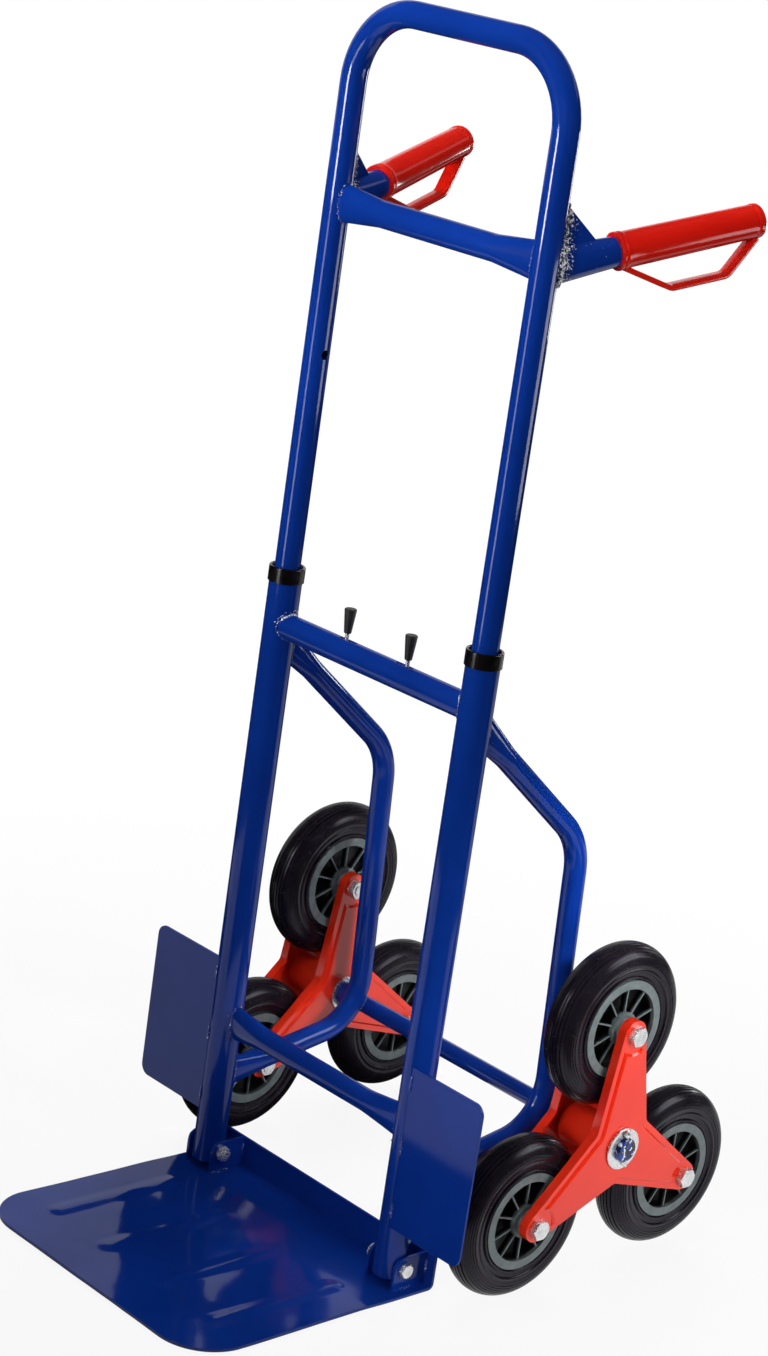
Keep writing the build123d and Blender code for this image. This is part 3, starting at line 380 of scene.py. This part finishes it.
def toe_stations():
    """(y, z, normal y, normal z, half width) of the upper face, from the front edge to the flange's top."""
    low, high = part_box("toe_plate")
    stations = []
    for angle in np.linspace(90, 0, 22, endpoint=False):
        t = radians(angle)
        y = low.y + TOE_CORNER * (1 - sin(t))
        stations.append((y, TOE_SHEET, 0, 1, high.x - TOE_CORNER * (1 - cos(t))))
    rib_end = RIB_LENGTH / 2
    front, back = low.y + TOE_CORNER, high.y - TOE_BEND
    rear_rib = RIB_CENTRE_Y + rib_end
    bends = (front, front + 0.02, rear_rib - 0.016, rear_rib + 0.004, back)
    for (start, stop), step in zip(zip(bends, bends[1:]), (FINE_STEP, PLAIN_STEP, FINE_STEP, BACK_STEP)):
        for y in spread(start, stop, step):
            stations.append((y, TOE_SHEET, 0, 1, high.x))
    inner = TOE_BEND - TOE_SHEET
    for angle in np.linspace(0, 90, 9):
        a = radians(angle)
        stations.append((back + inner * sin(a), TOE_BEND - inner * cos(a), -sin(a), cos(a), high.x))
    for z in np.linspace(TOE_BEND, high.z, 8)[1:]:
        stations.append((high.y - TOE_SHEET, z, -1, 0, high.x))
    return stations


def toe_columns(half):
    """Stations across the plate, close together over the ribs."""
    edges = [-half]
    for rib_x in rib_places:
        edges += [rib_x - RIB_WIDTH / 2 - 0.001, rib_x + RIB_WIDTH / 2 + 0.001]
    edges.append(half)
    columns = []
    for i, (start, stop) in enumerate(zip(edges, edges[1:])):
        columns += spread(start, stop, RIB_STEP if i % 2 else PLAIN_STEP)
    return columns + [half]


def make_toe_plate():
    stations = toe_stations()
    half = stations[-1][4]
    columns = toe_columns(half)
    upper, lower = [], []
    for y, z, ny, nz, half_width in stations:
        for column in columns:
            x = column * half_width / half
            rise = toe_rise(x, y) * nz
            upper.append((x, y + rise * ny, z + rise * nz))
            lower.append((x, y - (TOE_SHEET - rise) * ny, z - (TOE_SHEET - rise) * nz))
    rows, across = len(stations), len(columns)
    count = rows * across
    faces = grid_faces(rows, across) + grid_faces(rows, across, first=count, flip=True)
    border = list(range(across)) + [i * across + across - 1 for i in range(1, rows)]
    border += [count - 1 - j for j in range(1, across)] + [i * across for i in range(rows - 2, 0, -1)]
    for a, b in zip(border, border[1:] + border[:1]):
        faces.append([b, a, a + count, b + count])
    finish = finishes["blue_enamel"]
    piece = add_piece("pressed_toe_plate", upper + lower, faces, finish, "toe_plate")
    rounding = piece.modifiers.new("edge", "BEVEL")
    rounding.width = TOE_EDGE_ROUND
    rounding.segments = 3
    rounding.limit_method = "ANGLE"
    rounding.angle_limit = radians(60)
    rounding.harden_normals = True
    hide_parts("toe_plate")


# Grips

GRIP_SPLAY = radians(15.4)
GRIP_RISE = radians(14.2)
GRIP_ROOT_Z = 975.0 * MM
GRIP_START = 69.0
GRIP_SEGMENTS = 72
# Distance from the front end and radius, in millimetres: two collar rings, the long taper and the end rim
GRIP_PROFILE = (
    (0, 13.5), (0, 16.2), (0.2, 16.7), (0.7, 17.15), (1.3, 17.3), (2.9, 17.3), (3.4, 17.1), (3.8, 16.5),
    (4.2, 16.3), (4.7, 16.6), (5.1, 17.05), (5.8, 17.2), (7.0, 17.2), (7.7, 17.0), (8.3, 16.6), (9.2, 16.45),
    (24, 16.3), (60, 16.0), (100, 15.65), (138.5, 15.3), (139.3, 15.25), (139.8, 14.95), (140.4, 14.95),
    (140.9, 15.4), (141.7, 15.65), (144.6, 15.65), (146.2, 15.3), (147.5, 14.4), (148.4, 13.0), (148.8, 11.0),
    (149, 6), (149, 0.01),
)
GUARD_DROP = 42.5
GUARD_INSIDE = 14.4
GUARD_FRONT = (6.0, 53.0)
GUARD_REAR = (110.5, 142.5)
GUARD_CORNER = 11.0
# Half section of the guard's strap: across and away from the hand, in millimetres
GUARD_SECTION = (
    (0, 1.8), (4.2, 1.8), (4.9, 2.4), (5.3, 2.5), (6.0, 2.5), (6.6, 2.25), (7.0, 1.7), (7.0, -1.5),
    (6.75, -2.2), (6.1, -2.5), (0, -2.6),
)
# The small web between grip and guard: half its thickness, and its corners along the grip and down
WEB_HALF = 2.2
WEB_CORNERS = ((5.5, 14.5), (15.5, 14.5), (15.0, 20.5))
WEB_FACES = ((0, 1, 2), (5, 4, 3), (0, 3, 4, 1), (1, 4, 5, 2), (2, 5, 3, 0))


def grip_matrix(side):
    """Frame of a grip in millimetres: X level across it, Y up and Z along it from the leg."""
    level = cos(GRIP_RISE)
    along = Vector((side * sin(GRIP_SPLAY) * level, cos(GRIP_SPLAY) * level, sin(GRIP_RISE)))
    across = Vector((-cos(GRIP_SPLAY), side * sin(GRIP_SPLAY), 0))
    turn = Matrix((across, along.cross(across), along)).transposed().to_4x4()
    return Matrix.Translation((side * half_track, 0, GRIP_ROOT_Z)) @ turn @ Matrix.Scale(MM, 4)


def rounded_route(corners, radius, steps):
    """Points and directions along straight runs joined by arcs, in a plane."""
    route = []
    corners = [Vector(c) for c in corners]
    start = corners[0]
    for i in range(1, len(corners) - 1):
        before, after = (corners[i] - corners[i - 1]).normalized(), (corners[i + 1] - corners[i]).normalized()
        turn = before.angle_signed(after)
        reach = radius * tan(abs(turn) / 2)
        begin = corners[i] - before * reach
        route += [(start.lerp(begin, k / steps), before) for k in range(steps)]
        normal = Vector((-before.y, before.x)) * (-1 if turn > 0 else 1)
        centre = begin + normal * radius
        for k in range(steps):
            swing = Matrix.Rotation(-turn * k / steps, 2)
            route.append((centre + swing @ (begin - centre), swing @ before))
        start = corners[i] + after * reach
    direction = (corners[-1] - start).normalized()
    return route + [(start.lerp(corners[-1], k / steps), direction) for k in range(steps + 1)]


def make_grip(name, side):
    points, faces = [], []
    for along, radius in GRIP_PROFILE:
        for k in range(GRIP_SEGMENTS):
            turn = 2 * pi * k / GRIP_SEGMENTS
            points.append((radius * cos(turn), radius * sin(turn), GRIP_START + along))
    faces += grid_faces(len(GRIP_PROFILE), GRIP_SEGMENTS, wrap_columns=True)
    corners = [
        (GUARD_FRONT[0], GUARD_INSIDE), (GUARD_FRONT[1], GUARD_DROP),
        (GUARD_REAR[0], GUARD_DROP), (GUARD_REAR[1], GUARD_INSIDE),
    ]
    route = rounded_route(corners, GUARD_CORNER, 10)
    section = list(GUARD_SECTION) + [(-a, n) for a, n in reversed(GUARD_SECTION[1:-1])]
    first = len(points)
    for (along, drop), direction in route:
        out_along, out_drop = -direction[1], direction[0]
        for across, out in section:
            points.append((across, -(drop + out * out_drop), GRIP_START + along + out * out_along))
    faces += grid_faces(len(route), len(section), first=first, wrap_columns=True)
    faces.append([first + k for k in reversed(range(len(section)))])
    faces.append([len(points) - len(section) + k for k in range(len(section))])
    first = len(points)
    for across in (-WEB_HALF, WEB_HALF):
        for along, drop in WEB_CORNERS:
            points.append((across, -drop, GRIP_START + along))
    faces += [[first + k for k in face] for face in WEB_FACES]
    place = grip_matrix(side)
    points = [place @ Vector(p) for p in points]
    piece = add_piece(f"{name}_moulded_grip", points, faces, finishes["grip_red"], "handle")
    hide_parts(f"{name}_grip")


# Weld beads

AXLE_MIDDLE_RADIUS = 9.0 * MM
LOCK_CROWN = 6.0 * MM
WING_TACK = 16.0 * MM
WING_TACK_OUT = 1.0 * MM
LUG_BEAD = 22.0 * MM


class Beads:
    """Weld beads and spatter on one body, gathered in one mesh."""

    STEP = 0.8 * MM
    RIPPLE = 3.4 * MM
    ROUND = 8
    SINK = -0.35

    def __init__(self, seed):
        self.points, self.faces = [], []
        self.draw = random.Random(seed)

    def run(self, path, away, radius, closed=True):
        """A rippled bead along a path; away points off the surface that it lies on."""
        path, away = resample(path, away, self.STEP, closed)
        count = len(path)
        first = len(self.points)
        phase = self.draw.random()
        for i in range(count):
            ahead, behind = (i + 1) % count, (i - 1) % count
            if not closed:
                ahead, behind = min(i + 1, count - 1), max(i - 1, 0)
            tangent = Vector(path[ahead] - path[behind]).normalized()
            up = Vector(away[i]).normalized()
            out = tangent.cross(up).normalized()
            ripple = (i * self.STEP / self.RIPPLE + phase) % 1
            lump = noise.noise(Vector(path[i]) * 190 + Vector((phase * 9, 0, 0)))
            size = radius * (0.85 + 0.3 * (1 - (2 * ripple - 1) ** 2) + 0.3 * lump)
            if not closed:
                size *= 0.35 + 0.65 * soft_step(min(i, count - 1 - i) * self.STEP / (1.5 * radius))
            for k in range(self.ROUND):
                turn = 2 * pi * k / self.ROUND
                rise = max(sin(turn), self.SINK)
                self.points.append(Vector(path[i]) + (out * cos(turn) + up * rise) * size)
        self.faces += grid_faces(count, self.ROUND, first=first, wrap_rows=closed, wrap_columns=True)
        if not closed:
            self.faces.append([first + k for k in reversed(range(self.ROUND))])
            self.faces.append([len(self.points) - self.ROUND + k for k in range(self.ROUND)])

    def blob(self, place, up, radius):
        """A drop of spatter: a low dome with a lumpy rim."""
        up = Vector(up).normalized()
        side = up.orthogonal().normalized()
        other = up.cross(side)
        first = len(self.points)
        sides = 7
        for height, width in ((-0.4, 1.0), (0.3, 0.95), (0.75, 0.6)):
            for k in range(sides):
                turn = 2 * pi * k / sides
                reach = width * self.draw.uniform(0.8, 1.2)
                spoke = (side * cos(turn) + other * sin(turn)) * reach
                self.points.append(place + (spoke + up * height) * radius)
        self.points.append(place + up * radius)
        self.faces += grid_faces(3, sides, first=first, wrap_columns=True)
        top = first + 2 * sides
        for k in range(sides):
            self.faces.append([top + k, top + (k + 1) % sides, first + 3 * sides])
        self.faces.append([first + k for k in reversed(range(sides))])

    def spatter(self, path, away, count, reach):
        """Drops around a joint, on the tube that it sits on."""
        centre = Vector(np.mean(path, axis=0))
        for _ in range(count):
            i = self.draw.randrange(len(path))
            up = Vector(away[i])
            off = Vector(path[i]) - centre
            off -= up * off.dot(up)
            drop = Vector(path[i]) + off.normalized() * self.draw.uniform(1.5, reach) * MM
            self.blob(drop - up * 0.1 * MM, up, self.draw.uniform(0.25, 0.75) * MM)

    def finish(self, name, body, finish):
        add_piece(name, self.points, self.faces, finish, body, sharp=80)


def resample(path, away, step, closed):
    """Points and directions at even steps along a path."""
    path, away = np.array(path, float), np.array(away, float)
    if closed:
        path, away = np.vstack([path, path[:1]]), np.vstack([away, away[:1]])
    length = np.r_[0, np.cumsum(np.linalg.norm(np.diff(path, axis=0), axis=1))]
    where = np.linspace(0, length[-1], max(int(length[-1] / step), 6), endpoint=not closed)
    even = []
    for data in (path, away):
        even.append(np.column_stack([np.interp(where, length, data[:, k]) for k in range(3)]))
    return even


def joint_loop(node, axis, centre, radius, low=None, high=None):
    """Outer edge of a node's end on a round bar: points round the joint and directions off the bar."""
    points = np.array([v.co for v in nodes[node].data.vertices])
    if low:
        points = points[np.all((points > np.array(low)) & (points < np.array(high)), axis=1)]
    across = [k for k in range(3) if k != axis]
    spokes = points[:, across] - np.array(centre)[across]
    on_bar = np.abs(np.hypot(spokes[:, 0], spokes[:, 1]) - radius) < 0.05 * MM
    points, spokes = points[on_bar], spokes[on_bar]
    toward = np.arctan2(*spokes.mean(axis=0)[::-1])
    swing = (np.arctan2(spokes[:, 1], spokes[:, 0]) - toward + pi) % (2 * pi) - pi
    flat = np.column_stack([swing * radius, points[:, axis]])
    flat_centre = (flat.min(axis=0) + flat.max(axis=0)) / 2
    turn = np.arctan2(*(flat - flat_centre).T[::-1])
    reach = np.hypot(*(flat - flat_centre).T)
    sectors = 72
    path, away = [], []
    for k in range(sectors):
        inside = np.where((turn >= -pi + 2 * pi * k / sectors) & (turn < -pi + 2 * pi * (k + 1) / sectors))[0]
        if len(inside):
            best = inside[np.argmax(reach[inside])]
            off = np.zeros(3)
            off[across] = spokes[best] / radius
            path.append(points[best])
            away.append(off)
    return path, away


def around(side, z_low, z_high, reach=40 * MM):
    """Box round an upright between two heights."""
    x = side * half_track
    return (x - reach, -reach, z_low), (x + reach, reach, z_high)


def frame_welds():
    beads, painted_sparkle = Beads(seed=3), Beads(seed=5)
    lock_z = middle("lock_cross_tube").z
    lower_z = middle("lower_cross_tube").z
    for name, side in SIDES.items():
        post = (side * half_track, 0, 0)
        stay = f"{name}_wheel_stay"
        low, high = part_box(stay)
        joints = (
            ("lock_cross_tube", lock_z - 0.05, lock_z + 0.05, 1.2, 0),
            ("lower_cross_tube", lower_z - 0.05, lower_z + 0.05, 1.3, 16),
            (stay, high.z - 0.1, high.z + 0.01, 1.4, 16),
            (stay, low.z - 0.01, low.z + 0.06, 1.4, 16),
        )
        for node, z_low, z_high, radius, drops in joints:
            path, away = joint_loop(node, 2, post, upright_radius, *around(side, z_low, z_high))
            beads.run(path, away, radius * MM)
            beads.spatter(path, away, drops, 12)
            if node == "lock_cross_tube":
                crown = [k for k, point in enumerate(path) if point[2] > lock_z + LOCK_CROWN]
                crown.sort(key=lambda k: path[k][1])
                top, off = [path[k] for k in crown], [away[k] for k in crown]
                painted_sparkle.run(top, off, 1.5 * MM, closed=False)
                painted_sparkle.spatter(top, off, 50, 6)
        path, away = joint_loop(stay, 0, hub, AXLE_MIDDLE_RADIUS)
        beads.run(path, away, 1.6 * MM)
        wing_low, wing_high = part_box(f"{name}_load_wing")
        for y, off in ((wing_low.y, -1), (wing_high.y, 1)):
            x = side * (half_track + (upright_radius ** 2 - y ** 2) ** 0.5 + WING_TACK_OUT)
            for share in (0.1, 0.5, 0.9):
                z = wing_low.z + share * (wing_high.z - wing_low.z)
                path = [(x, y, z + k * WING_TACK / 2) for k in (-1, 0, 1)]
                beads.run(path, [(side * 0.5, off, 0)] * 3, 1.5 * MM, closed=False)
    beads.finish("frame_welds", "frame", weld_finish)
    painted_sparkle.finish("frame_spatter", "frame", sparkle_weld_finish)


def handle_welds():
    beads, painted_sparkle = Beads(seed=11), Beads(seed=13)
    cross_z = middle("handle_cross_tube").z
    for name, side in SIDES.items():
        post = (side * half_track, 0, 0)
        joints = (
            ("handle_cross_tube", around(side, cross_z - 0.05, cross_z + 0.05), 1.2, 12, beads),
            (f"{name}_grip_stub", around(side, cross_z - 0.05, cross_z + 0.05), 3.4, 90, painted_sparkle),
            ("grip_gussets", around(side, cross_z - 0.05, cross_z + 0.12), 2.8, 60, painted_sparkle),
        )
        for node, box, radius, drops, kind in joints:
            path, away = joint_loop(node, 2, post, leg_radius, *box)
            kind.run(path, away, radius * MM)
            kind.spatter(path, away, drops, 7)
    beads.finish("handle_welds", "handle", weld_finish)
    painted_sparkle.finish("handle_spatter", "handle", shade_sparkle_weld_finish)


def toe_plate_welds():
    beads = Beads(seed=23)
    low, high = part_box("hinge_lugs")
    lug_outside = high.x - half_track
    for side in SIDES.values():
        for face in (-1, 1):
            x = side * half_track + face * lug_outside
            path = [(x, low.y + 2 * MM + k * LUG_BEAD / 2, TOE_SHEET + 0.3 * MM) for k in (0, 1, 2)]
            beads.run(path, [(face, 0, 1)] * 3, 1.7 * MM, closed=False)
            flange = [(x, high.y - 0.6 * MM, TOE_SHEET + z * MM) for z in (10, 18, 26)]
            beads.run(flange, [(face, -1, 0)] * 3, 1.5 * MM, closed=False)
            for _ in range(8):
                off = face * beads.draw.uniform(2, 9) * MM
                place = Vector((x + off, beads.draw.uniform(-10, 22) * MM, TOE_SHEET))
                beads.blob(place, (0, 0, 1), beads.draw.uniform(0.3, 0.7) * MM)
    beads.finish("toe_plate_welds", "toe_plate", weld_finish)


# Pale and white spots on these weld finishes are painted sparkle highlights.
weld_finish = welded_enamel("welded_enamel", BLUE, rgb(0.8, 0.83, 0.9), sparkle_from=0.6)
# Near-black painted shade under white painted sparkle, for the handle's stub and gusset joints.
shade_sparkle_weld_finish = welded_enamel("shade_sparkle_weld", rgb(0, 0.004, 0.03), WHITE_PAINTED_SPARKLE, sparkle_from=0.52)
sparkle_weld_finish = welded_enamel("sparkle_weld", BLUE, WHITE_PAINTED_SPARKLE, sparkle_from=0.46)
make_toe_plate()
for name, side in SIDES.items():
    make_grip(name, side)
frame_welds()
handle_welds()
toe_plate_welds()


# Lock springs


def make_spring(name):
    """The spring of a lock: a copy of its mesh that rides on the frame in place of the part's own."""
    node = f"{name}_lock_spring"
    piece = bpy.data.objects.new(f"{name}_coil_spring", nodes[node].data.copy())
    bpy.context.scene.collection.objects.link(piece)
    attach(piece, "frame")
    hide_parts(node)
    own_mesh(piece)


for name in SIDES:
    make_spring(name)


# Studio

def white_to_viewer(tree, seen, other):
    """Camera, glossy and transmission rays meet the first shader, all others the second."""
    path = tree.nodes.new("ShaderNodeLightPath")
    amount = path.outputs["Is Camera Ray"]
    for ray in ("Is Glossy Ray", "Is Transmission Ray"):
        either = tree.nodes.new("ShaderNodeMath")
        either.operation = "MAXIMUM"
        tree.links.new(amount, either.inputs[0])
        tree.links.new(path.outputs[ray], either.inputs[1])
        amount = either.outputs[0]
    mix = tree.nodes.new("ShaderNodeMixShader")
    tree.links.new(amount, mix.inputs[0])
    tree.links.new(other, mix.inputs[1])
    tree.links.new(seen, mix.inputs[2])
    return mix.outputs[0]


def make_world(ambient, backdrop_top, ceiling):
    """Soft light all round; to the viewer a white backdrop under a grey ceiling."""
    world = bpy.data.worlds.new("studio")
    world.use_nodes = True
    tree = world.node_tree
    soft = tree.nodes["Background"]
    soft.inputs["Color"].default_value = rgb(1, 1, 1)
    soft.inputs["Strength"].default_value = ambient
    place = tree.nodes.new("ShaderNodeTexCoord")
    split = tree.nodes.new("ShaderNodeSeparateXYZ")
    tree.links.new(place.outputs["Generated"], split.inputs[0])
    fade = tree.nodes.new("ShaderNodeMapRange")
    for socket, value in zip(("From Min", "From Max", "To Min", "To Max"), (*backdrop_top, 1.0, ceiling)):
        fade.inputs[socket].default_value = value
    tree.links.new(split.outputs["Z"], fade.inputs["Value"])
    white = tree.nodes.new("ShaderNodeBackground")
    white.inputs["Color"].default_value = rgb(1, 1, 1)
    tree.links.new(fade.outputs[0], white.inputs["Strength"])
    result = white_to_viewer(tree, white.outputs[0], soft.outputs[0])
    tree.links.new(result, tree.nodes["World Output"].inputs["Surface"])
    bpy.context.scene.world = world


def make_floor(radius, fade_start, fade_end, near_white):
    """A pale floor that keeps the shadow near the object and fades into white."""
    place = (0, 0, -0.3 * MM)
    bpy.ops.mesh.primitive_circle_add(vertices=96, radius=radius, fill_type="NGON", location=place)
    floor = bpy.context.object
    floor.name = "floor"
    s = Shader("floor", Roughness=0.9, Specular_IOR_Level=0.1)
    tone = s.remap(s.noise(3, detail=5), 0.3, 0.7)
    s.feed("Base_Color", s.blend(tone, rgb(0.87, 0.87, 0.87), rgb(0.9, 0.9, 0.9)))
    away = s.add("VectorMath", {0: s.coords}, output="Value", operation="LENGTH")
    glow = s.add("Emission", {"Strength": 1.0})
    fade = s.remap(away, fade_start, fade_end, near_white, 1.0)
    seen = s.add("MixShader", {0: fade, 1: s.bsdf.outputs[0], 2: glow})
    bounce = s.add("BsdfDiffuse", {"Color": rgb(0.5, 0.5, 0.5)})
    result = white_to_viewer(s.tree, seen, bounce)
    s.plug(s.tree.nodes["Material Output"].inputs["Surface"], result)
    floor.data.materials.append(s.material)


def make_dark(name, profile, start, stop):
    """A dark screen that only reflections see: (radius, height) corners swept between two bearings."""
    columns = 64
    points = []
    for turn in np.linspace(radians(start), radians(stop), columns):
        points += [(radius * cos(turn), radius * sin(turn), height) for radius, height in profile]
    mesh = bpy.data.meshes.new(name)
    mesh.from_pydata(points, [], grid_faces(columns, len(profile)))
    s = Shader(name, Roughness=0.9, Specular_IOR_Level=0.0)
    s.feed("Base_Color", s.blend(s.noise(4), rgb(0.02, 0.02, 0.02), rgb(0.04, 0.04, 0.04)))
    mesh.materials.append(s.material)
    screen = bpy.data.objects.new(name, mesh)
    bpy.context.scene.collection.objects.link(screen)
    screen.visible_camera = False
    screen.visible_diffuse = False
    screen.visible_shadow = False


def area_lamp(name, place, aim, size, watts, spread=pi):
    lamp = bpy.data.lights.new(name, "AREA")
    lamp.shape = "RECTANGLE"
    lamp.size, lamp.size_y = size
    lamp.energy = watts
    lamp.spread = spread
    holder = bpy.data.objects.new(name, lamp)
    bpy.context.scene.collection.objects.link(holder)
    holder.location = place
    holder.rotation_euler = (Vector(aim) - Vector(place)).to_track_quat("-Z", "Y").to_euler()
    holder.visible_camera = False
    return holder


def softbox(name, place, aim, size, level, spread=180):
    """A lamp that no reflection shows; at level 1 a face at the aim looks as its colour is written."""
    half = radians(spread) / 2
    beam = tan(half) / (tan(half) - half) if spread < 180 else 1.0
    distance = (Vector(aim) - Vector(place)).length
    holder = area_lamp(name, place, aim, size, level * (pi * distance) ** 2 / beam, 2 * half)
    holder.visible_glossy = False


def reflector(name, place, aim, size, radiance):
    """A lamp that only reflections show, where radiance 1 is white."""
    holder = area_lamp(name, place, aim, size, radiance * pi * size[0] * size[1])
    holder.visible_diffuse = False


def make_camera():
    """The camera of the photograph: its direction, distance, tilt and lens."""
    azimuth, elevation, roll = radians(45.269), radians(16.432), radians(8.326)
    target = Vector((0, 0.0938, 0.5159))
    distance, shift_right, shift_up = 2.9722, -0.05225, 0.03335
    focal_pixels, image_height, sensor = 3130.06, 1356, 36.0
    back = Vector((sin(azimuth) * cos(elevation), -cos(azimuth) * cos(elevation), sin(elevation)))
    right = Vector((cos(azimuth), sin(azimuth), 0))
    up = back.cross(right)
    across = right * cos(roll) + up * sin(roll)
    upward = up * cos(roll) - right * sin(roll)
    camera = bpy.data.cameras.new("camera")
    camera.sensor_width = sensor
    camera.lens = focal_pixels * sensor / image_height
    holder = bpy.data.objects.new("camera", camera)
    bpy.context.scene.collection.objects.link(holder)
    pose = Matrix((across, upward, back)).transposed().to_4x4()
    pose.translation = target + back * distance + across * shift_right + upward * shift_up
    holder.matrix_world = pose
    bpy.context.scene.camera = holder


bpy.context.scene.view_settings.view_transform = "Standard"
make_camera()
make_world(ambient=0.09, backdrop_top=(0.49, 0.51), ceiling=0.08)
make_floor(radius=30.0, fade_start=0.6, fade_end=1.2, near_white=0.9)
make_dark("dark_wall", ((1.1, 0.0), (1.1, 2.2)), -170, 58)
make_dark("dark_back_wall", ((2.4, 0.0), (2.4, 1.9)), 58, 100)
make_dark("dark_card", ((1.0, 0.4), (1.0, 0.6)), 70, 115)
make_dark("dark_mat", ((0.5, 0.001), (1.1, 0.001)), -95, 20)
make_dark("dark_back_mat", ((0.1, 0.001), (8.0, 0.001)), 104, 190)
make_dark("dark_side_mat", ((0.52, 0.001), (0.9, 0.001)), 190, 204)
softbox("key", (-0.75, -1.4, 1.15), (0, 0, 1.1), (0.7, 0.7), 1.15, spread=66)
softbox("fill", (0.9, -1.6, 1.45), (0.05, 0.05, 1.0), (0.8, 0.8), 0.5, spread=60)
softbox("back", (-1.1, 1.4, 1.5), (0, 0.1, 0.5), (1.0, 1.0), 0.5)
softbox("top", (-0.2, 0.0, 2.6), (0, 0.1, 0.6), (1.4, 1.4), 0.4)
softbox("side", (0.95, 0.32, 0.25), (0.24, 0.19, 0.15), (0.3, 0.3), 0.95, spread=64)
softbox("grip_side", (1.6, -0.3, 1.3), (0.2, 0.15, 1.0), (0.4, 0.4), 0.3, spread=40)
softbox("far_star", (0.95, 0.15, 0.95), (-0.17, 0.19, 0.15), (0.2, 0.2), 0.9, spread=24)
softbox("low_front", (0.45, -1.1, 0.75), (0.2, 0.1, 0.13), (0.2, 0.2), 0.4, spread=24)
reflector("left_strip", (-0.15, -0.99, 0.93), (0, 0, 0.93), (0.24, 0.18), 40)
reflector("left_low_strip", (-0.15, -0.99, 0.59), (0, 0, 0.59), (0.24, 0.46), 8)
reflector("back_strip", (-0.11, 1.95, 0.77), (0, 0, 0.77), (0.3, 0.4), 16)
reflector("tyre_strip", (0.71, 0.65, 0.7), (0.21, 0.19, 0.25), (0.5, 0.4), 7)
